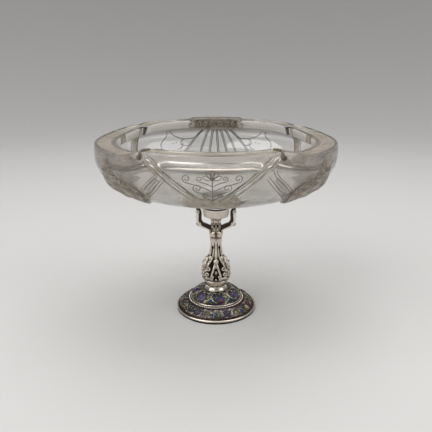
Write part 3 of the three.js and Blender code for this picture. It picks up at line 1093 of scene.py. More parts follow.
    def tendrils(
        self, name: str, surface: Surface, phase: float, swing: float, middle: float
    ) -> None:
        """Silver tendrils that wind between the flowers.

        Args:
            name: of the band.
            surface: slope_point or dome_point.
            phase: azimuth of the first flower.
            swing: how far up and down they wind, as a share of the band.
            middle: how far up the band the flowers sit.
        """
        paths = []
        steps = self.flowers * 18
        for start in (0.0, math.pi):
            path = []
            for i in range(steps + 1):
                azimuth = phase + i * 360 / steps
                wave = math.sin(math.radians(azimuth - phase) * self.flowers + start)
                path.append(self.on_band(surface, middle + swing * 0.8 * wave, azimuth, 0.0002)[0])
            paths.append(path)
        wires = tubes(f"{name}_silver_tendrils", paths, 0.0002, 1)
        finished(wires, self.shop.turned, Slot.SILVER)

    def cartouches(self) -> None:
        """The pale C-scroll straps between the dome's flowers."""
        paths = []
        knots = [(0.95, 13.0), (0.84, 3.0), (0.6, 1.0), (0.36, 5.0), (0.16, 15.0)]
        for i, side in itertools.product(range(self.flowers), (-1, 1)):
            azimuth = self.upper_phase + (i + 0.5) * 360 / self.flowers
            line = curve([(share, azimuth + side * across) for share, across in knots], 6)
            paths.append([self.on_band(self.dome_point, p[0], p[1], 0.0003)[0] for p in line])
        straps = tubes("dome_cartouche_straps", paths, 0.00032, 1, tapered(0.7, 1.2))
        finished(straps, self.shop.turned, Slot.SILVER)

    def beads(self) -> None:
        """The ring of soldered beads, on a dark seat."""
        circle, low, high = self.bead_circle, self.ledge, self.ledge + 0.0006
        place = Vector((circle, 0, low + self.bead_radius * 0.9))
        bead = ball("bead", place, (self.bead_radius,) * 3, 10)
        pitch = 360 / self.bead_count
        ring = ringed("bead", bead, [i * pitch + 90 for i in range(self.bead_count)])
        outline = [
            (circle - 0.0013, low), (circle + 0.0016, low), (circle + 0.0014, high),
            (circle - 0.0011, high),
        ]
        seat = dressed(spun("bead_seat", outline), self.shop.dark_and_painted_shade)
        dressed(ring, self.shop.beaded)
        finished(joined("bead_ring_soldered", seat, ring), None, Slot.SILVER, "bead_ring")

    def hoop(self, radius: float, height: float, thickness: float) -> Object:
        """A plain wire hoop round the axis."""
        half = thickness / 2
        return spun("hoop", arc((radius, height), half, half, 0, 330, 11), FINE)

    def wire(self) -> None:
        """The plain bright wire inside the beads, and the dark joints beside the enamel."""
        wire = self.hoop(self.wire_circle, self.ledge + 0.0019, self.wire_thickness)
        finished(joined("wire_ring_plain", wire), self.shop.turned, Slot.SILVER, "wire_ring")
        dark = joined("enamel_joints_blackened", *[self.hoop(*hoop) for hoop in self.joint_hoops])
        finished(dark, self.shop.dark_and_painted_shade, Slot.SILVER)

    def neck(self) -> None:
        """The waisted neck, with mouldings at its foot and its head."""
        low, high = self.dome_top, self.neck_top
        foot, waist, head = self.neck_foot, self.neck_waist, self.neck_top_radius
        side = [
            (foot, low + 0.0018), (waist + 0.0002, low + 0.0034), (waist, low + 0.0052),
            (waist + 0.0009, low + 0.0076), (head - 0.0007, high - 0.0012),
        ]
        outline = [
            (self.bore, low), (foot + 0.0002, low),
            *arc((foot + 0.0002, low + 0.0008), 0.0008, 0.0007, -80, 80, 6), *curve(side, 6),
            (head - 0.0004, high - 0.001), (head, high - 0.0007), (head, high), (self.bore, high),
        ]
        neck = spun("foot_neck_turned", outline)
        finished(neck, self.shop.turned, Slot.SILVER, "foot_neck")

    def neck_ring(self) -> None:
        """The bright ring that carries the baluster."""
        low, high = self.neck_top, self.neck_top + self.ring_height
        outer, half = self.ring_radius, self.ring_height / 2
        outline = [
            (self.bore, low),
            (outer - 0.0018, low),
            *arc((outer - half * 0.9, low + half), half * 0.9, half * 0.82, -80, 80, 9),
            (outer - 0.0022, high - 0.0001),
            (outer - 0.0026, high),
            (self.bore, high),
        ]
        ring = spun("neck_ring_turned", outline)
        finished(ring, self.shop.turned, Slot.SILVER, "neck_ring")


# The stem


@dataclass
class Stem:
    """The cast stem: openwork baluster, petalled neck, ring and four-lobed knop."""

    shop: Workshop
    foot: float = 0.0346
    neck_foot: float = 0.0576
    ring_foot: float = 0.0788
    knop_foot: float = 0.0808
    knop_top: float = 0.0882
    bore: float = 0.0024
    belly: float = 0.0160
    neck_foot_radius: float = 0.0078
    neck_waist: float = 0.0050
    ring_radius: float = 0.0064
    knop_radius: float = 0.0079
    knop_flat: float = 0.0044
    sides: int = 4

    def build(self) -> None:
        """Builds and dresses every piece of the stem."""
        self.scrolls()
        self.drops()
        self.neck()
        self.ring()
        self.knop()
        self.bulb()

    def bulb(self) -> None:
        """The dark bulb that shows through the openwork."""
        side = [
            (0.0105, self.foot), (0.0116, 0.0385), (0.0112, 0.0430), (0.0094, 0.0490),
            (0.0074, 0.0550), (0.0072, self.neck_foot),
        ]
        outline = [(0.0028, self.foot), *curve(side, 5), (0.0028, self.neck_foot)]
        bulb = spun("baluster_bulb_dark", outline, 64)
        finished(bulb, self.shop.dark_and_painted_shade, Slot.SILVER, "baluster_core")

    def all_round(self, name: str, node: str, finish: Material, *parts: Object) -> None:
        """Repeats one side's parts on every side of the baluster, as one piece.

        Args:
            name: of the piece.
            node: the name of its CAD nodes, before their number.
            finish: its material.
            parts: what one side is made of.
        """
        turns = [360 * i / self.sides for i in range(self.sides)]
        nodes = [f"{node}_{i + 1}" for i in range(self.sides)]
        finished(ringed(name, joined("side", *parts), turns), finish, Slot.SILVER, *nodes)

    def strap(
        self, knots: Sequence[tuple[float, float, float]],
        volute: tuple[tuple[float, float, float], float, float, float], thickness: float,
    ) -> Object:
        """A cast scroll on the baluster that ends in a volute.

        Args:
            knots: places that it passes, as (azimuth, radius, height).
            volute: its eye, as such a place, its radius, its outer end's side (1 towards a
                higher azimuth, -1 away), and whether it first turns up (1) or down (-1).
            thickness: of the scroll at its middle.

        Returns:
            The scroll.
        """
        line = curve([polar(r, a, z) for a, r, z in knots], 5)
        (azimuth, radius, height), reach, side, rise = volute
        around = polar(1, azimuth + 90 * side, 0)
        eye = polar(radius, azimuth, height)
        winding = spiral(eye, around, Vector((0, 0, rise)), reach, 1.15, 14)
        body = tubes("body", [line], thickness, 2, lambda t: 0.62 + 0.45 * math.sin(math.pi * t))
        curl = tubes("curl", [winding], thickness * 0.72, 2, tapered(1.1, 0.7))
        return joined("strap", body, curl)

    def leaf(self) -> Object:
        """A small acanthus leaf between two arches, with its lobes curled out.

        Returns:
            The leaf.
        """
        fork = (45, 0.0108, 0.0540)
        veins = [
            [(45, 0.0086, 0.0582), fork, (45, 0.0136, 0.0486)],
            [fork, (41, 0.0128, 0.0520), (40, 0.0136, 0.0506)],
            [fork, (49, 0.0128, 0.0520), (50, 0.0136, 0.0506)],
        ]
        paths = [curve([polar(r, a, z) for a, r, z in knots], 5) for knots in veins]
        vein = tubes("vein", paths, 0.0009, 2, tapered(0.7, 1.2))
        bud = ball("bud", polar(0.0146, 45, 0.0462), (0.0014, 0.0014, 0.0026), 12)
        tip = ball("tip", polar(self.belly + 0.0002, 45, 0.0414), (0.0013,) * 3, 10)
        return joined("leaf", vein, bud, tip)

    def scrolls(self) -> None:
        """The openwork belly: on each side two arches, with a leaf between each two sides."""
        belly = self.belly
        parts = [self.leaf()]
        inner = [
            (4, 0.0096, 0.0552), (8, 0.0122, 0.0518), (12, 0.0142, 0.0478), (17, 0.0154, 0.0432),
            (21, belly - 0.0004, 0.0404),
        ]
        outer = [
            (26, 0.0082, 0.0596), (31, 0.0108, 0.0566), (36, 0.0136, 0.0534), (38, 0.0152, 0.0502),
        ]
        lower = [
            (15, 0.0143, 0.0388), (24, 0.0156, 0.0384), (34, 0.0166, 0.0396), (40, 0.0166, 0.0422),
        ]
        for side in (-1, 1):
            scrolls = (
                (inner, ((side * 15, belly - 0.0006, 0.0408), 0.0017, side, -1), 0.0011),
                (outer, ((side * 30, 0.0157, 0.0496), 0.0025, side, -1), 0.00105),
                (lower, ((side * 33.5, 0.0164, 0.0428), 0.0021, side, 1), 0.0011),
            )
            for knots, volute, thickness in scrolls:
                line = [(side * a, r, z) for a, r, z in knots]
                parts.append(self.strap(line, volute, thickness))
        self.all_round("baluster_openwork", "scroll_leaf", self.shop.cast, *parts)

    def drops(self) -> None:
        """The bosses over the arches, the drops in them and the knobs at their feet."""
        places = [
            ((0, 0.0092, 0.0556), (0.0031, 0.0027, 0.0030), 16),
            ((0, 0.0086, 0.0592), (0.0012, 0.0012, 0.0015), 12),
            ((45, 0.0080, 0.0580), (0.0019, 0.0022, 0.0030), 14),
            ((0, 0.0122, 0.0506), (0.0012, 0.0012, 0.0020), 12),
            ((0, 0.0120, 0.0440), (0.0014, 0.0014, 0.0022), 12),
            ((-19, 0.0142, 0.0372), (0.0019, 0.0019, 0.0018), 12),
            ((19, 0.0142, 0.0372), (0.0019, 0.0019, 0.0018), 12),
            ((0, 0.0134, 0.0366), (0.0012, 0.0012, 0.0012), 12),
            ((36, 0.0140, 0.0366), (0.0013, 0.0013, 0.0013), 12),
            ((45, 0.0140, 0.0370), (0.0015, 0.0015, 0.0017), 12),
            ((-36, 0.0140, 0.0366), (0.0013, 0.0013, 0.0013), 12),
        ]
        parts = [ball("drop", polar(r, a, z), size, sides) for (a, r, z), size, sides in places]
        self.all_round("baluster_drops", "berry_drop", self.shop.turned, *parts)

    def neck(self) -> None:
        """The neck: four long petals with a raised midrib; between their tips, deep dents painted dark
        as painted shade for the piercings.
        """
        low, high, foot, waist = self.neck_foot, self.ring_foot, self.neck_foot_radius, self.neck_waist
        side = [
            (foot, low), (foot - 0.0006, low + 0.0035), (waist + 0.0009, low + 0.0095),
            (waist, low + 0.0150), (waist + 0.0002, high - 0.0030), (waist + 0.0007, high - 0.0008),
            (waist + 0.0007, high),
        ]
        outline = [(self.bore, low), *curve(side, 9), (self.bore, high)]
        neck = spun("stem_neck_petalled", outline, FINE)
        eye_height = high - 0.0090

        def petals(azimuth: np.ndarray, radius: np.ndarray, height: np.ndarray) -> np.ndarray:
            """The relief that the chaser works up.

            Args:
                azimuth: of each place, in degrees.
                radius: of each place.
                height: of each place.

            Returns:
                How far out each place is raised.
            """
            quarter = (azimuth + 45) % 90 - 45
            share = np.clip((height - low) / (high - low), 0, 1)
            skin = (radius > waist - 0.0006) * ease(0, 0.06, share) * (1 - ease(0.92, 1.0, share))
            midrib = 0.0010 * bump(0, 7, quarter) * (0.5 + 0.5 * ease(0.1, 0.5, share))
            fold = 0.0013 * bump(45, 8, np.abs(quarter)) * (1 - ease(0.5, 0.62, share))
            groove = 0.0006 * bump(17, 5, np.abs(quarter)) * (1 - ease(0.7, 0.95, share))
            # the eyes: dents deep enough that the recess attribute paints them wholly dark, as painted
            # shade for piercings
            off_eye = ((np.abs(quarter) - 45) / 15) ** 2 + ((height - eye_height) / 0.0017) ** 2
            eye = 0.0024 * np.exp(-(off_eye**1.5))
            lip = 0.0005 * np.exp(-((off_eye - 2.2) ** 2))
            return skin * (midrib - fold - groove - eye + lip)

        chased(neck, petals, 0.0012)
        finished(neck, self.shop.cast, Slot.SILVER, "stem_neck")

    def ring(self) -> None:
        """The fine ring under the knop, between two fillets."""
        low, outer = self.ring_foot, self.ring_radius
        outline = [
            (self.bore, low), (outer - 0.0010, low),
            *arc((outer - 0.0008, low + 0.0007), 0.0008, 0.0006, -70, 70, 6),
            (outer - 0.0011, low + 0.0014), (outer - 0.0004, low + 0.0016),
            (outer - 0.0005, low + 0.0020), (self.bore, low + 0.0020),
        ]
        ring = spun("stem_ring_turned", outline)
        finished(ring, self.shop.turned, Slot.SILVER, "stem_ring")

    def knop(self) -> None:
        """The knop, with four soft lobes and dark hollows between them."""
        low, high = self.knop_foot, self.knop_top
        middle = (low + high) / 2
        across = self.knop_radius - self.knop_flat
        belly = arc((self.knop_flat, middle), across, middle - low, -90, 90, 18)
        knop = spun("knop_lobed", [(self.bore, low), *belly, (self.bore, high)], FINE)

        def hollows(azimuth: np.ndarray, radius: np.ndarray, height: np.ndarray) -> np.ndarray:
            """How far in the knop is cut between its lobes."""
            reach = ease(self.knop_flat, self.knop_radius, radius)
            return -0.0007 * reach * np.abs(np.cos(np.radians(azimuth * 2))) ** 6

        chased(knop, hollows, 0.0013)
        finished(knop, self.shop.turned, Slot.SILVER, "knop")


# The mount between the stem and the bowl


@dataclass
class BowlMount:
    """The pierced hub, the collar cup and the two scroll brackets."""

    shop: Workshop
    hub_foot: float = 0.0882
    collar_foot: float = 0.1037
    mouth: float = 0.1126
    bore: float = 0.0024
    hub_foot_radius: float = 0.0042
    hub_waist: float = 0.0038
    hub_top_radius: float = 0.0062
    collar_radius: float = 0.0127
    mouth_radius: float = 0.0144
    cup_radius: float = 0.0116
    cup_floor: float = 0.1055
    bracket_radius: float = 0.0179
    bracket_width: float = 0.0034
    bracket_thickness: float = 0.0046
    bracket_tip: float = 0.0230
    tip_height: float = 0.1157
    knuckle_heights: tuple[float, float] = (0.0946, 0.1030)
    strap_points: int = 24  # how much of the bracket the bright strap follows

    def build(self) -> None:
        """Builds and dresses every piece of the mount."""
        self.hub()
        self.collar()
        self.brackets()

    def hub(self) -> None:
        """The hub: a slim vase with small leaves, and eyes that are deep dents painted dark as painted
        shade for piercings.
        """
        low, high = self.hub_foot, self.collar_foot
        foot, waist, head = self.hub_foot_radius, self.hub_waist, self.hub_top_radius
        side = [
            (foot + 0.0005, low), (foot + 0.0001, low + 0.0020), (foot + 0.0012, low + 0.0054),
            (waist + 0.0003, low + 0.0092), (waist + 0.0007, high - 0.0034), (head, high - 0.0012),
            (head, high),
        ]
        outline = [(self.bore, low), *curve(side, 8), (self.bore, high)]
        hub = spun("hub_pierced", outline, FINE)
        eye_height = low + 0.0056

        def eyes(azimuth: np.ndarray, radius: np.ndarray, height: np.ndarray) -> np.ndarray:
            """The hub's relief.

            Args:
                azimuth: of each place, in degrees.
                radius: of each place.
                height: of each place.

            Returns:
                How far out each place stands. The eyes lie in, as dents painted dark for the shade in
                piercings.
            """
            eighth = (azimuth + 22.5) % 45 - 22.5
            skin = (radius > waist - 0.0006) * ease(0, 0.001, height - low)
            # the eyes: dents deep enough that the recess attribute paints them wholly dark, as painted
            # shade for piercings
            spread = ((np.abs(eighth) - 22.5) / 10) ** 2 + ((height - eye_height) / 0.0016) ** 2
            eye = 0.0026 * np.exp(-(spread**2))
            brow = 0.0007 * np.exp(-((spread - 2.6) ** 2))
            fold = 0.0007 * bump(0, 5, eighth) * (1 - ease(0.004, 0.007, height - eye_height))
            return skin * (brow - eye - fold)

        chased(hub, eyes, 0.0011)
        knots = (
            (waist + 0.0004, 0.0094), (waist + 0.0010, 0.0116),
            (head + 0.0002, 0.0134), (head + 0.0012, 0.0130),
        )
        line = curve([polar(radius, 0, low + height) for radius, height in knots], 6)
        leaf = tubes("hub_leaf", [line], 0.0009, 2, tapered(1.1, 0.7))
        leaves = ringed("hub_leaves", leaf, [45 * i for i in range(8)])
        hub = joined("hub_pierced", hub, leaves)
        finished(hub, self.shop.cast, Slot.SILVER, "bracket_hub")

    def collar(self) -> None:
        """The cup that takes the crystal's stub, with a rolled mouth."""
        low, high, outer, mouth = self.collar_foot, self.mouth, self.collar_radius, self.mouth_radius
        bore = self.bore - 0.0001
        outline = [
            (bore, low), (outer - 0.0014, low), (outer - 0.0004, low + 0.0002),
            (outer + 0.0002, low + 0.0010), (outer + 0.0006, low + 0.0036),
            (mouth - 0.0007, high - 0.0024), (mouth - 0.0005, high - 0.0018),
            *arc((mouth - 0.0009, high - 0.0009), 0.0009, 0.0008, -60, 90, 7),
            (self.cup_radius, high - 0.0001), (self.cup_radius, self.cup_floor),
            (bore, self.cup_floor),
        ]
        collar = spun("collar_stippled", outline)
        finished(collar, self.shop.stippled, Slot.SILVER, "collar_cup")

    def bracket_path(self, offset: float) -> list[Vector]:
        """The line of a bracket in the XZ plane.

        Args:
            offset: how far it is set off towards the bracket's outside.

        Returns:
            The points of the line, as (x, z).
        """
        foot, outer, collar = self.hub_foot + 0.0010, self.bracket_radius, self.collar_foot
        knots = [
            (0.0049, foot), (0.0098, foot + 0.0026), (outer - 0.0028, foot + 0.0050),
            (outer, foot + 0.0096), (outer, collar + 0.0024), (outer + 0.0005, self.mouth - 0.0040),
            (outer + 0.0028, self.mouth - 0.0008), (self.bracket_tip + 0.0008, self.tip_height),
        ]
        line = curve(knots, 5)
        return [here + side * offset for here, side in zip(line, sideways(line))]

    def brackets(self) -> None:
        """Both brackets: a dark web with a bright scrolled strap outside it."""
        width, thick = self.bracket_width, self.bracket_thickness
        outline = ribbon_outline(self.bracket_path(-0.0015), lambda t: width * 0.9)
        web = plate("web", outline, thick - 0.0012, 0.0003)
        line = self.bracket_path(0.0014)[: self.strap_points]
        outline = ribbon_outline(line, lambda t: width * (0.28 + 0.36 * float(ease(0.15, 0.5, t))))
        bright = [plate("strap", outline, thick, 0.0006)]
        knuckle = self.bracket_radius + 0.0012
        across = Vector((1, 0, 0))
        for side in (-1, 1):
            level = side * thick * 0.36
            low = Vector((knuckle - 0.0016, level, self.hub_foot + 0.0072))
            high = Vector((knuckle - 0.0002, level, self.mouth - 0.0046))
            coils = [
                spiral(low, across, Vector((0, 0, -1)), 0.0026, 1.1),
                spiral(high, across, Vector((0, 0, 1)), 0.0019, 1.1),
            ]
            bright.append(tubes("curl", coils, 0.00068, 2, tapered(1.1, 0.7)))
        for height in self.knuckle_heights:
            bright.append(ball("knuckle", Vector((knuckle + 0.0008, 0, height)), (0.0015,) * 3, 12))
        strap = dressed(joined("strap", *bright), self.shop.cast)
        dressed(web, self.shop.dark_and_painted_shade)
        right = joined("bracket_scrolled_right", web, strap)
        left = copied(right, Matrix.Rotation(math.pi, 4, "Z"))
        left.name = "bracket_scrolled_left"
        finished(right, None, Slot.SILVER, "bracket_right")
        finished(left, None, Slot.SILVER, "bracket_left")


# The crystal bowl


@dataclass
class CrystalBowl:
    """The lobed bowl, cut from one piece, with its carved ribs, shells, cresting and engraving."""

    shop: Workshop
    stub_foot: float = 0.1062
    stub_radius: float = 0.0112
    start_radius: float = 0.0160
    start_height: float = 0.1162
    slope: float = 0.305
    radius: float = 0.1192
    rim: float = 0.1902
    knee_inset: float = 0.0392
    shoulder_drop: float = 0.008
    wall: float = 0.005
    flange: float = 0.0218
    opening_oval: float = 0.002
    lip: float = 0.009
    fillet: float = 0.0065  # under the flange, where it meets the wall
    ridge: float = 0.0007  # how far the flange's two ridges stand above its matt field
    valley_depth: float = 0.0036
    valley_width: float = 0.009
    rib_square: tuple[float, ...] = (0.68, 0.68, 0.97, 0.97)  # cosine of each rib's slant
    panel_turn: float = -2.4
    panel_half: float = 30.0
    waist_half: float = 6.0
    waist_drop: float = 0.043
    back_rib: float = 130.0
    back_drift: float = 10.0
    rim_dip: float = 0.0055
    strap_half: float = 0.0026
    strap_height: float = 0.0013
    shell_azimuth: float = 82.0
    shell_back: float = 117.0  # the shell ends here, before the back rib
    shell_first: float = 0.0495  # from the shell's hinge at the rim to its first step
    shell_step: float = 0.0127
    shell_height: float = 0.0024
    veil: float = 0.48  # how matt the engraved front panel is
    frost: float = 0.72  # how matt the panel's foot is, over the collar
    bloom: float = 0.36  # how matt the side lobes are above their shells
    crest_half: float = 15.0  # half the cresting's length, in degrees
    crest_panels: int = 9
    columns: int = 600
    crowding: float = 0.55  # how much nearer to each other the columns stand at the ribs

    def __post_init__(self) -> None:
        """Works out the outer profile, by its length up from the stub."""
        self.waist = self.rim - self.waist_drop
        knee_radius = self.radius - self.knee_inset
        rise = (knee_radius - self.start_radius) * self.slope
        knee = np.array((knee_radius, self.start_height + rise))
        shoulder = self.rim - self.shoulder_drop
        handles = (
            knee,
            knee + np.array((0.026, 0.026 * self.slope)),
            np.array((self.radius, shoulder - 0.027)),
            np.array((self.radius, shoulder)),
        )
        start = np.array((self.start_radius, self.start_height))
        line = [start + (knee - start) * t for t in np.linspace(0, 1, 25)]
        for t in np.linspace(0, 1, 121)[1:]:
            weights = ((1 - t) ** 3, 3 * (1 - t) ** 2 * t, 3 * (1 - t) * t * t, t**3)
            line.append(sum(w * h for w, h in zip(weights, handles)))
        self.line = np.array(line)
        steps = np.hypot(*np.diff(self.line, axis=0).T)
        self.along = np.concatenate([[0.0], np.cumsum(steps)])
        ahead = np.gradient(self.line, axis=0)
        ahead /= np.hypot(ahead[:, 0], ahead[:, 1])[:, None]
        self.normal = np.column_stack([ahead[:, 1], -ahead[:, 0]])
        self.length = float(self.along[-1])

    def skin(self, up: Values) -> tuple[Values, ...]:
        """Radius, height and normal of the plain profile, at a length up from the stub."""
        return tuple(np.interp(up, self.along, v) for v in (*self.line.T, *self.normal.T))

    def lobing(self, radius: Values) -> Values:
        """How far the bowl is lobed at a radius, from 0 near the stub to 1."""
        return ease(0.020, 0.070, radius)

    def ribs(self, height: Values) -> list[Values]:
        """The four ribs' course: front left, front right, then both at the back.

        Args:
            height: where they are wanted.

        Returns:
            The azimuth of each rib.
        """
        rise = np.clip((height - self.waist) / self.waist_drop, 0, 1)
        spread = np.maximum(rise, 1 - ease(self.start_height, self.waist, height))
        half = mix(self.waist_half, self.panel_half, spread)
        back = self.back_rib - self.back_drift * (1 - rise)
        return [self.panel_turn - half, self.panel_turn + half, back, 360 - back]

    def from_rib(self, azimuth: Values, radius: Values, height: Values) -> list[Values]:
        """How far a place is from each rib.

        Args:
            azimuth: of the place, in degrees.
            radius: of the place.
            height: of the place.

        Returns:
            The distance from each rib, square to the rib.
        """
        made = []
        for rib, square in zip(self.ribs(height), self.rib_square):
            turn = (azimuth - rib + 180) % 360 - 180
            made.append(np.radians(turn) * radius * square)
        return made

    def valley(self, azimuth: Values, radius: Values, height: Values, lobing: Values) -> Values:
        """The valley along the nearest rib.

        Args:
            azimuth: of the place, in degrees.
            radius: of the place.
            height: of the place.
            lobing: how far the bowl is lobed there.

        Returns:
            The valley's depth.
        """
        depth = np.zeros_like(radius)
        for i, off in enumerate(self.from_rib(azimuth, radius, height)):
            run_out = ease(self.waist - self.valley_width, self.waist, height) if i < 2 else 1.0
            bell = bump(0, self.valley_width, off / self.rib_square[i])
            depth = np.maximum(depth, self.valley_depth * lobing * run_out * bell)
        return depth

    def dip(self, azimuth: Values, height: Values) -> Values:
        """The dip of the rim over the side lobes.

        Args:
            azimuth: of the place, in degrees.
            height: of the place.

        Returns:
            How far the place has dropped.
        """
        turn = azimuth % 360
        front = np.minimum(turn, 360 - turn)
        share = ease(28, 46, front) * (1 - ease(95, 150, front))
        return self.rim_dip * share * ease(self.rim - 0.045, self.rim - 0.006, height)

    def shell_edge(self, up: Values) -> Values:
        """How far round from the shell's middle its edge lies, at a length up the wall."""
        return np.interp(up, [0.070, 0.080, 0.100, 0.1125, 0.121, 0.1335], [38, 44, 49, 39, 33, 31])

    def shell_mask(self, azimuth: Values, up: Values) -> Values:
        """Where a side lobe's carved shell is.

        Args:
            azimuth: of the place, in degrees.
            up: its length up the wall.

        Returns:
            1 inside the shell and 0 outside it.
        """
        side = np.abs((azimuth + 180) % 360 - 180)
        round_edge = self.shell_edge(up) - np.abs(side - self.shell_azimuth)
        off = np.minimum(round_edge, self.shell_back - side) * 2 * MM
        return ease(0, 0.0016, off) * ease(0.068, 0.074, up) * (up > 0)

    def shell_steps(self, azimuth: Values, up: Values, radius: Values) -> tuple[Values, Values]:
        """A place as the shell's carver sees it, from the shell's hinge at the rim.

        Args:
            azimuth: of the place, in degrees.
            up: its length up the wall.
            radius: of the place.

        Returns:
            Its distance from the hinge, in steps, and its direction, in degrees.
        """
        side = np.abs((azimuth + 180) % 360 - 180)
        across = np.radians(side - self.shell_azimuth) * radius
        down = self.length + 0.002 - up
        steps = (np.hypot(across, down) - self.shell_first) / self.shell_step
        return steps, np.degrees(np.arctan2(across, down))

    def relief(
        self, azimuth: Values, up: Values, radius: Values, height: Values
    ) -> tuple[Values, Values, Values]:
        """The carving of the outer skin.

        Args:
            azimuth: of the place, in degrees.
            up: its length up the wall.
            radius: of the place.
            height: of the place.

        Returns:
            How far the carving stands out, how matt it is, and how much painted shade darkens its
            grooves, with the shells' hatching.
        """
        raised, matt, shade_and_hatching = (np.zeros_like(radius) for _ in range(3))
        for i, off in enumerate(self.from_rib(azimuth, radius, height)):
            off = np.abs(off)
            front_rib = ease(self.waist - 0.004, self.waist + 0.004, height)
            shown = front_rib if i < 2 else ease(0.05, 0.07, up)
            strap = 1 - ease(self.strap_half - 0.0004, self.strap_half + 0.0004, off)
            bead = bump(self.strap_half - 0.0003, 0.0005, off)
            groove = bump(self.strap_half + 0.0011, 0.0007, off)
            raised += shown * (self.strap_height * strap + 0.0005 * bead - 0.0007 * groove)
            clear = 0.55 * (1 - ease(0.0004, 0.0012, off)) if i < 2 else 0.0
            matt = np.maximum(matt, shown * strap * (0.8 - clear))
            # painted shade along the inside of each strap's bead
            shade_and_hatching = np.maximum(shade_and_hatching, shown * 0.5 * bump(self.strap_half - 0.001, 0.0004, off))
        inside = self.shell_mask(azimuth, up)
        steps, fan = self.shell_steps(azimuth, up, radius)
        part = steps % 1.0
        tier = np.sin(np.pi * np.clip(part, 0, 1)) ** 0.55 * (steps > 0)
        edge = np.minimum(part, 1 - part) * self.shell_step
        # painted shade in the notches between the shell's tiers
        shade_and_hatching = np.maximum(shade_and_hatching, inside * (steps > -0.1) * 0.85 * bump(0, 0.0011, edge))
        hatch = np.abs(np.cos(np.radians(fan * 18))) ** 6 * ease(0.3, 0.5, part) * (steps > 0)
        # the hatching cut into the shell's tiers
        shade_and_hatching = np.maximum(shade_and_hatching, inside * 0.7 * hatch)
        flutes = 0.0004 * np.abs(np.sin(np.radians(fan * 18))) * (steps > 0)
        raised += inside * (self.shell_height * tier + flutes)
        matt = np.maximum(matt, inside * mix(0.25, 0.8, ease(-0.5, 0.0, steps)))
        front = self.ribs(height)
        turn = (azimuth + 180) % 360 - 180
        within = np.radians(np.minimum(turn - front[0], front[1] - turn)) * radius
        veil = ease(0.002, 0.012, within) * ease(0.060, 0.085, up) * self.veil
        off_panel = np.abs(turn - self.panel_turn)
        frost = (1 - ease(9, 20, off_panel)) * (1 - ease(0.097, 0.110, up)) * ease(0.046, 0.060, up)
        band = ease(self.length - 0.009, self.length - 0.004, up)
        side = ease(6, 14, np.abs(turn)) * (1 - ease(118, 128, np.abs(turn)))
        for cut in (self.frost * frost, 0.4 * band, veil, self.bloom * side * (up > 0)):
            matt = np.maximum(matt, cut)
        return raised, matt, shade_and_hatching

    def place(self, azimuth: float, up: float, lift: float = 0.0) -> Vector:
        """A point on the outer skin.

        Args:
            azimuth: in degrees.
            up: length up the profile from the stub.
            lift: off the skin.

        Returns:
            The point.
        """
        r, z, nr, nz = self.skin(up)
        out = self.relief(azimuth, up, r, z)[0] + lift
        out = out - self.valley(azimuth, r, z, self.lobing(r))
        return polar(r + nr * out, azimuth, z + nz * out - self.dip(azimuth, z))

    def rows(self) -> np.ndarray:
        """The bowl's rows from its stub over the rim to its inside.

        Returns:
            For each row (radius, height, normal r, normal z, lobing, oval, up, matt), where up is
            the length up the outer skin, or -1 away from it.
        """
        stub, foot, start = self.stub_radius, self.stub_foot, self.start_height
        points = [
            (0.0, foot), (stub - 0.0005, foot), (stub, foot + 0.0005), (stub, start - 0.0026),
            (stub + 0.0010, start - 0.0012), (stub + 0.0026, start - 0.0004),
        ]
        rows = [(r, z, 1, 0, 0, 0, -1, 0) for r, z in points]
        for up in [*np.linspace(0, 0.060, 10), *np.linspace(0.064, self.length, 56)]:
            r, z, nr, nz = self.skin(up)
            rows.append((r, z, nr, nz, self.lobing(r), 0, up, 0))
        inner, ridge, lip, fillet = self.flange, self.ridge, self.lip, self.fillet
        # Each row of the rim is (inset, drop, lobing, oval, matt)
        rim = [
            (0.0002, 0.0045, 1.0, 0, 0.4), (0.0004, 0.0020, 1.0, 0, 0.4),
            (0.0007, 0.0008, 1.0, 0, 0.3), (0.0014, 0.0000, 0.95, 0, 0.2),
            (0.0036, 0.0000, 0.9, 0, 0.1), (0.0042, ridge * 0.5, 0.87, 0.1, 0.4),
            (0.0048, ridge, 0.85, 0.1, 0.8), (0.0085, ridge, 0.7, 0.3, 0.8),
            (0.0125, ridge, 0.5, 0.5, 0.8), (inner - 0.0056, ridge, 0.4, 0.8, 0.8),
            (inner - 0.0050, ridge * 0.5, 0.38, 0.8, 0.4), (inner - 0.0044, 0.0000, 0.36, 0.9, 0.1),
            (inner - 0.0014, 0.0000, 0.35, 1, 0.0), (inner - 0.0004, 0.0006, 0.32, 1, 0.0),
            (inner, 0.0018, 0.3, 1, 0.45), (inner, lip * 0.6, 0.3, 1, 0.45),
            (inner, lip - 0.0006, 0.3, 1, 0.45), (inner - 0.0006, lip, 0.3, 1, 0.5),
            (inner - self.wall, lip + 0.001, 0.4, 0.5, 0.65),
        ]
        centre = (self.wall + fillet, lip + 0.0012 + fillet)
        steps = 8
        for i, (inset, drop) in enumerate(arc(centre, -fillet, -fillet, 90, 0, steps)):
            share = i / steps
            rim.append((inset, drop, mix(0.6, 1.0, share), 0.3 * (1 - share), 0.65 * (1 - share)))
        for inset, drop, lobing, oval, matt in rim:
            rows.append((self.radius - inset, self.rim - drop, 1, 0, lobing, oval, -1, matt))
        for up in np.linspace(self.length - 0.0115, 0.012, 42):
            r, z, nr, nz = self.skin(up)
            inside = (r - nr * self.wall, z - nz * self.wall)
            rows.append((*inside, nr, nz, self.lobing(r), 0, -1, 0))
        rows.append((0.0, start + self.wall, 1, 0, 0, 0, -1, 0))
        return np.array(rows)

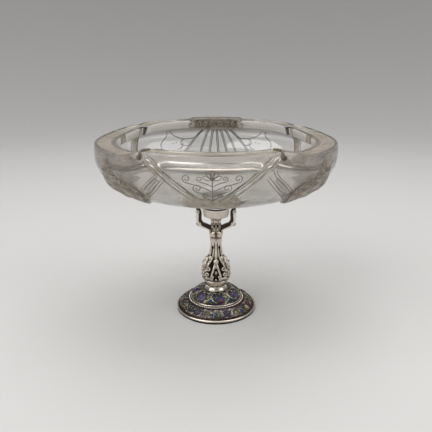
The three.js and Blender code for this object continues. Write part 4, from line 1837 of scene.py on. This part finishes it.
    def column_azimuth(self, turn: np.ndarray, height: np.ndarray) -> np.ndarray:
        """Moves evenly spaced columns to the ribs' course, closer together beside each rib.

        Args:
            turn: the columns' azimuths on the blank, from 0 to 360.
            height: of each vertex.

        Returns:
            The azimuth of each vertex.
        """
        top, here = self.ribs(self.rim), self.ribs(height)
        top, here = [*top, top[0] + 360], [*here, here[0] + 360]
        turn = (turn - top[0]) % 360 + top[0]
        made = np.zeros_like(turn)
        for i in range(4):
            share = (turn - top[i]) / (top[i + 1] - top[i])
            inside = (share >= 0) & (share < 1)
            share = share - self.crowding * np.sin(math.tau * share) / math.tau
            made = np.where(inside, mix(here[i], here[i + 1], share), made)
        return made

    def build(self) -> None:
        """Builds and dresses the bowl and all that is cut on it."""
        self.body()
        self.cresting()
        self.rib_caps()
        self.engraving()

    def body(self) -> None:
        """The bowl itself, spun and then lobed and carved."""
        rows = self.rows()
        bowl = spun("bowl_rock_crystal", rows[:, :2].tolist(), self.columns, closed=False)
        mesh = bowl.data
        co = np.empty(len(mesh.vertices) * 3, np.float64)
        mesh.vertices.foreach_get("co", co)
        co = co.reshape(-1, 3)
        radius = np.hypot(co[:, 0], co[:, 1])
        gaps = np.abs(radius[:, None] - rows[None, :, 0]) + np.abs(co[:, 2:] - rows[None, :, 1])
        r, z, nr, nz, lobing, oval, up, matt = rows[np.argmin(gaps, axis=1)].T
        azimuth = self.column_azimuth(np.degrees(np.arctan2(co[:, 0], -co[:, 1])), z)
        for off in self.from_rib(azimuth, r, z)[2:]:
            inner_rib = (up < 0) & (z < self.rim - self.lip - 0.002) & (r > 0.070)
            matt = np.where(inner_rib & (np.abs(off) < self.strap_half + 0.0006), 0.8, matt)
        raised, cut, shade_and_hatching = self.relief(azimuth, up, r, z)
        skin = up >= 0
        out = np.where(skin, raised, 0) - self.valley(azimuth, r, z, lobing)
        angle = np.radians(azimuth)
        reach = r + nr * out + self.opening_oval * oval * np.cos(angle) ** 2
        reach = np.where(r < WELD, 0, reach)
        height = z + nz * out - self.dip(azimuth, z)
        placed = np.column_stack([reach * np.sin(angle), -reach * np.cos(angle), height])
        mesh.vertices.foreach_set("co", placed.ravel())
        mesh.update()
        ground = np.where(skin, cut, matt)
        marked(bowl, GROUND_ATTRIBUTE, ground)
        # the recess attribute holds the painted shade in the carving's grooves, and the shells'
        # hatching
        marked(bowl, RECESS_ATTRIBUTE, np.where(skin, shade_and_hatching, 0))
        dressed(bowl, self.shop.crystal, self.shop.matt)
        finished(bowl, None, Slot.CRYSTAL, "crystal_bowl")
        self.part_finishes(mesh, ground)

    def part_finishes(self, mesh: Mesh, cut: np.ndarray) -> None:
        """Gives the matt finish to the faces that the wheel has ground.

        Args:
            mesh: the bowl's.
            cut: how matt each vertex is.
        """
        corners_of = np.empty(len(mesh.loops), np.int32)
        first = np.empty(len(mesh.polygons), np.int32)
        count = np.empty(len(mesh.polygons), np.int32)
        mesh.loops.foreach_get("vertex_index", corners_of)
        mesh.polygons.foreach_get("loop_start", first)
        mesh.polygons.foreach_get("loop_total", count)
        mean = np.add.reduceat(cut[corners_of], first) / count
        mesh.polygons.foreach_set("material_index", (mean > 0.5).astype(np.int32))
        mesh.update()

    def rim_point(self, azimuth: float, inset: float, above: float) -> Vector:
        """A point over the flange.

        Args:
            azimuth: in degrees.
            inset: from the bowl's widest radius.
            above: the rim's plain level.

        Returns:
            The point.
        """
        share = inset / self.flange
        reach = self.radius - inset + self.opening_oval * share * math.cos(math.radians(azimuth)) ** 2
        valley = self.valley(azimuth, reach, self.rim, mix(0.95, 0.35, share))
        return polar(reach - valley, azimuth, self.rim + above - self.dip(azimuth, self.rim))

    def cresting(self) -> None:
        """The carved band at the back of the rim, with a volute at each end."""
        matt, bright = [self.crest_plate()], []
        half, lip, level = self.crest_half, 0.0229, -0.0046
        for side in (-1, 1):
            eye = self.rim_point(180 + side * (half + 2.2), 0.0226, level)
            inward = Vector((side, 0, 0))
            volute = spiral(eye, Vector((0, 0, 1)), inward, 0.0044, 1.35, 30)
            lead = self.rim_point(180 + side * (half - 3.0), 0.0226, 0.0006)
            bright.append(tubes("volute", [[lead, *volute]], 0.00105, 2, tapered(1.2, 0.7)))
            bright.append(ball("eye", eye, (0.0011,) * 3, 12))
            tail = [
                self.rim_point(180 + side * (half + a), 0.0212 - 0.0005 * a, 0.0007)
                for a in (0, 3, 6, 10)
            ]
            matt.append(tubes("tail", [curve(tail, 4)], 0.0013, 2, tapered(1.0, 0.25)))
            for k in range(3):
                middle = self.rim_point(180 + side * (3.6 + 4.2 * k), lip, level)
                scroll = spiral(middle, Vector((0, 0, -1 if k % 2 else 1)), inward, 0.0029, 1.2, 18)
                bright.append(tubes("scroll", [scroll], 0.0006, 1, tapered(1.2, 0.8)))
        turns = [t * math.tau / 16 for t in range(17)]
        shield = [
            self.rim_point(180 + 1.5 * math.sin(t), lip, level + 0.0034 * math.cos(t)) for t in turns
        ]
        bright.append(tubes("shield", [shield], 0.0006, 1))
        for inset, above in ((0.0040, 0.0014), (0.0212, 0.0014), (0.0230, -0.0094)):
            edge = [self.rim_point(180 + half * (i / 16 - 1), inset, above) for i in range(33)]
            bright.append(tubes("edge", [edge], 0.0007, 2))
        ground = dressed(joined("matt", *matt), self.shop.carved)
        lines = dressed(joined("bright", *bright), self.shop.matt)
        finished(joined("cresting_carved", ground, lines), None, Slot.CRYSTAL)

    def crest_plate(self) -> Object:
        """The cresting's ground: a thin carved strip over the flange and down the lip.

        Returns:
            The strip.
        """
        section = [
            (0.0035, 0.0003), (0.0042, 0.0011), (0.0105, 0.0011), (0.0110, 0.0005),
            (0.0120, 0.0005), (0.0125, 0.0011), (0.0205, 0.0011), (0.0222, 0.0004),
            (0.0226, -0.0020), (0.0224, -0.0045), (0.0226, -0.0070), (0.0224, -0.0092),
        ]
        rows = len(section) - 1
        let_go()
        bpy.ops.mesh.primitive_grid_add(x_subdivisions=60, y_subdivisions=rows, size=1)
        strip = bpy.context.object
        for vertex in strip.data.vertices:
            share = vertex.co.x + 0.5
            index = round((vertex.co.y + 0.5) * rows)
            inset, above = section[index]
            if index < 7:
                above += 0.0006 * abs(math.sin(share * math.pi * self.crest_panels)) ** 0.5
            azimuth = 180 + self.crest_half * (1 - 2 * share)
            vertex.co = self.rim_point(azimuth, inset, above)
        bpy.ops.object.mode_set(mode="EDIT")
        sealed()
        modified(strip, "SOLIDIFY", thickness=0.0006, offset=0)
        return smoothed(strip)

    def rib_caps(self) -> None:
        """The small carved block and hook where each front rib meets the rim."""
        parts = []
        knots = [
            (-0.3, 0.0150, 0.0004), (0.5, 0.0090, 0.0008), (0.3, 0.0030, 0.0006),
            (0, -0.0002, -0.0012), (-0.2, -0.0008, -0.0046),
        ]
        for side in (-1, 1):
            rib = self.panel_turn + side * self.panel_half
            line = curve([self.rim_point(rib + side * a, i, above) for a, i, above in knots], 6)
            parts.append(tubes("hook", [line], 0.0015, 3, tapered(0.6, 1.1)))
            around = (line[-1] - line[-2]).normalized()
            across = polar(1, rib + 90 * side, 0)
            coil = spiral(line[-1] + across * 0.0018, -across, around, 0.0020, 1.2)
            parts.append(tubes("coil", [coil], 0.0009, 2, tapered(1.1, 0.7)))
        finished(joined("rib_hooks_carved", *parts), self.shop.carved, Slot.CRYSTAL)

    def cut_lines(self, lines: Sequence[Knots], steps: int = 6) -> list[list[Vector]]:
        """Lines on the outer skin.

        Args:
            lines: the points that each passes.
            steps: number of stretches between one point and the next.

        Returns:
            The points of each line.
        """
        return [
            [self.place(azimuth, up * MM, -0.00005) for azimuth, up in curve(knots, steps)]
            for knots in lines
        ]

    def degree(self, up: float) -> float:
        """The length of a degree round the bowl in mm, at a length up the wall in mm."""
        return math.radians(1) * float(self.skin(up * MM)[0]) / MM

    def beside(self, knots: Knots, gap: float) -> Knots:
        """The same line set off sideways, for a double line.

        Args:
            knots: the points that the line passes.
            gap: how far to set it off, in mm.

        Returns:
            The points of the second line.
        """
        made = []
        for i, (azimuth, up) in enumerate(knots):
            before, after = knots[max(i - 1, 0)], knots[min(i + 1, len(knots) - 1)]
            scale = self.degree(up)
            along = Vector(((after[0] - before[0]) * scale, after[1] - before[1])).normalized()
            made.append((azimuth + along.y * gap / scale, up - along.x * gap))
        return made

    def engraving(self) -> None:
        """All wheel-cut lines, in three pieces."""
        self.sides()
        self.fan()
        self.front()

    def sides(self) -> None:
        """Strapwork and hatching on the side lobes."""
        straps = [
            [(24, 128), (25, 122), (30, 113), (36.5, 101.5)],
            [(21, 121), (25, 112), (31, 100), (37.5, 88)],
            [(52, 127), (43, 121), (37, 112), (35, 103)], [(50, 120.5), (42, 115.5), (36.5, 107)],
            [(47, 113.5), (41, 109), (37, 101)],
        ]
        bold = [self.beside(knots, gap) for knots in straps for gap in (-1.3, 1.3)]
        hatching = (
            (6, ((25.5, 121.5), (23.4, 116.5)), ((31.5, 110.5), (28.5, 105.5))),
            (3, ((25.2, 121), (31, 110.5)), ((23.6, 117), (28.2, 106))),
        )
        hair = []
        for count, first, last in hatching:
            for share in np.linspace(0, 1, count):
                hair.append([
                    (mix(a[0], b[0], share), mix(a[1], b[1], share)) for a, b in zip(first, last)
                ])
        for step, k in itertools.product((0, 1), range(26)):
            turn = math.radians(-62 + 2.2 * k if k < 13 else 62 - 2.2 * (k - 13))
            ends = []
            for share in (0.28, 0.62):
                reach = (self.shell_first + (step + share) * self.shell_step) / MM
                up = self.length / MM + 2 - reach * math.cos(turn)
                ends.append((self.shell_azimuth + reach * math.sin(turn) / self.degree(up), up))
            if ends[0][1] < 131:
                hair.append(ends)
        border = [(57, 125.5), (51, 122.5), (45, 118.5), (38.5, 110), (34.5, 100), (37, 88), (43, 76)]
        parts = []
        kinds = (
            ("bold", bold, 6, 0.0003, 1), ("hair", hair, 5, 0.0003, 0), ("rim", [border], 8, 0.00055, 2)
        )
        for name, lines, steps, radius, sides in kinds:
            both = [[(side * a, u) for a, u in knots] for side in (-1, 1) for knots in lines]
            parts.append(tubes(name, self.cut_lines(both, steps), radius, sides))
        finished(joined("engraving_sides", *parts), self.shop.engraving, Slot.CRYSTAL)

    def fan(self) -> None:
        """The fan of double lines on the back panel, between two C-scrolls."""
        rays = [
            (172.5, 159.0), (175.5, 167.5), (178.0, 173.5), (180.0, 179.0), (182.0, 184.5),
            (184.5, 190.5), (187.5, 201.0),
        ]
        scrolls = [
            [(27.5, 131), (27, 124), (23.5, 119.5), (19.5, 117), (13, 118.5), (8, 128)],
            [(28.7, 129.5), (30.5, 127), (30, 125)],
            [(20, 117), (22, 111), (18, 108), (16, 111)],
            [(25, 103), (22, 106), (20.5, 112)],
            [(30, 122), (35, 112), (33, 100), (24, 92)],
        ]
        lines = []
        for top, foot in rays:
            knots = [(top, 130), (mix(top, foot, 0.4), 118), (foot, 98), (mix(top, foot, 1.25), 80)]
            lines += [knots, self.beside(knots, 1.7)]
        for side in (-1, 1):
            lines += [[(180 + side * a, u) for a, u in knots] for knots in scrolls]
        parts = [tubes("fan", self.cut_lines(lines), 0.00045, 1)]
        for side, (a, u) in itertools.product((-1, 1), ((30, 123.5), (24.5, 113), (27, 112))):
            parts.append(ball("dot", self.place(180 + side * a, u * MM), (0.0007,) * 3, 8))
        finished(joined("engraving_back", *parts), self.shop.engraving, Slot.CRYSTAL)

    def front(self) -> None:
        """A symmetrical spray of scrolls under a palmette, on the front panel."""
        middle = self.panel_turn + 1.0
        degree = self.degree(115)

        def at(across: float, up: float) -> tuple[float, float]:
            """The place so many mm to the side of the panel's middle."""
            return (middle + across / degree, up)

        lines = [[at(0, 97), at(0, 110), at(0, 122)]]
        petal = [(0, 0), (-1.5, 3.2), (-1.4, 6), (0, 8), (1.4, 6), (1.5, 3.2), (0, 0)]
        for k in range(-2, 3):
            cosine, sine = math.cos(math.radians(34 * k)), math.sin(math.radians(34 * k))
            turned = [(x * cosine + y * sine, y * cosine - x * sine) for x, y in petal]
            lines.append([at(x, 122 + y) for x, y in turned])
        scrolls = (
            (99, 6.0, 106.5, 2.8), (105, 12.0, 114.5, 4.2),
            (111, 20.5, 123, 3.8), (116, 10.0, 123, 2.6),
        )
        for side, (low, across, up, radius) in itertools.product((-1, 1), scrolls):
            coil = []
            for i in range(15):
                turn = 0.36 * math.pi * i / 2
                reach = radius * (1 - 0.055 * i)
                x = across + reach * math.sin(turn)
                coil.append(at(side * x, up - reach * math.cos(turn)))
            lines.append([at(0, low), at(side * across * 0.45, mix(low, up - radius, 0.62)), *coil])
        spray = joined("engraving_front", tubes("spray", self.cut_lines(lines, 4), 0.00036, 1))
        finished(spray, self.shop.engraving, Slot.CRYSTAL)


# Hidden fastening, which keeps its CAD shapes


@dataclass
class Fastening:
    """The tie rod, its nut and washer, and the cement bed."""

    shop: Workshop

    def build(self) -> None:
        """Dresses the CAD nodes."""
        for node in ("tie_rod", "nut", "washer"):
            finished(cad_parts[node], self.shop.brass, Slot.BRASS)
        finished(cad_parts["seat_pad"], self.shop.cement, Slot.CEMENT)


# The studio


@dataclass
class Studio:
    """A round pale sweep, soft lamps and the camera."""

    sweep_radius: float = 3.0
    sweep_height: float = 2.0
    sweep_bend: float = 1.8
    camera_place: tuple[float, float, float] = (0.0, -0.512, 0.2677)
    camera_pitch: float = 17.78  # degrees down from level
    focal_length: float = 42.92
    sensor: float = 36.0

    def build(self) -> None:
        """Builds the stage, the lamps and the camera."""
        self.sweep()
        self.lamps()
        self.camera()
        bpy.context.scene.view_settings.view_transform = "Standard"

    def sweep(self) -> None:
        """The floor and, in one piece with it, the backdrop all round."""
        bend = self.sweep_bend
        corner = arc((self.sweep_radius - bend, bend), bend, bend, -90, 0, 16)
        outline = [(0.0, 0.0), (0.3, 0.0), *corner, (self.sweep_radius, self.sweep_height)]
        floor = drawn("sweep", outline)
        bpy.ops.mesh.select_all(action="SELECT")
        bpy.ops.mesh.spin(steps=72, angle=math.tau, center=(0, 0, 0), axis=(0, 0, 1))
        sealed(inwards=True)
        smoothed(floor, 60)
        paper, shader = blank("paper_sweep_pale")
        plug(shader, {"Base Color": linear("CFCECC"), "Roughness": 0.9, "Specular IOR Level": 0.2})
        dressed(floor, paper)

    def lamp(self, name: str, place: tuple[float, float, float], size: float, power: float) -> None:
        """A round soft lamp that faces the bowl.

        Args:
            name: of the lamp.
            place: where it hangs.
            size: its width.
            power: in watts.
        """
        let_go()
        bpy.ops.object.light_add(type="AREA", location=place)
        lamp = bpy.context.object
        lamp.name = name
        lamp.data.shape = "DISK"
        lamp.data.energy = power
        lamp.data.size = size
        aim = Vector((0, 0, 0.1)) - Vector(place)
        lamp.rotation_euler = aim.to_track_quat("-Z", "Y").to_euler()

    def lamps(self) -> None:
        """Wide soft lamps, from the front left, from above and from the right."""
        self.lamp("lamp_key", (-1.2, -0.8, 1.7), 2.0, 27.0)
        self.lamp("lamp_top", (0.1, 0.2, 1.5), 1.3, 13.0)
        self.lamp("lamp_fill", (1.35, -0.5, 1.5), 1.6, 11.0)
        world = bpy.data.worlds.new("studio")
        bpy.context.scene.world = world
        world.use_nodes = True
        light = world.node_tree.nodes["Background"]
        plug(light, {"Color": linear("8C8C8E"), "Strength": 0.65})

    def camera(self) -> None:
        """The camera, at the height, distance and pitch of the photograph."""
        let_go()
        turn = (math.radians(90 - self.camera_pitch), 0, 0)
        bpy.ops.object.camera_add(location=self.camera_place, rotation=turn)
        camera = bpy.context.object
        camera.name = "camera"
        camera.data.lens = self.focal_length
        camera.data.sensor_width = self.sensor
        bpy.context.scene.camera = camera


def main() -> None:
    """Builds the tazza and its studio."""
    logging.basicConfig(level=logging.INFO, format="%(message)s")
    Studio().build()
    shop = Workshop()
    for part in (Foot(shop), Stem(shop), BowlMount(shop), CrystalBowl(shop), Fastening(shop)):
        part.build()
        log.info("built: %s", type(part).__name__)


if __name__ == "__main__":
    main()
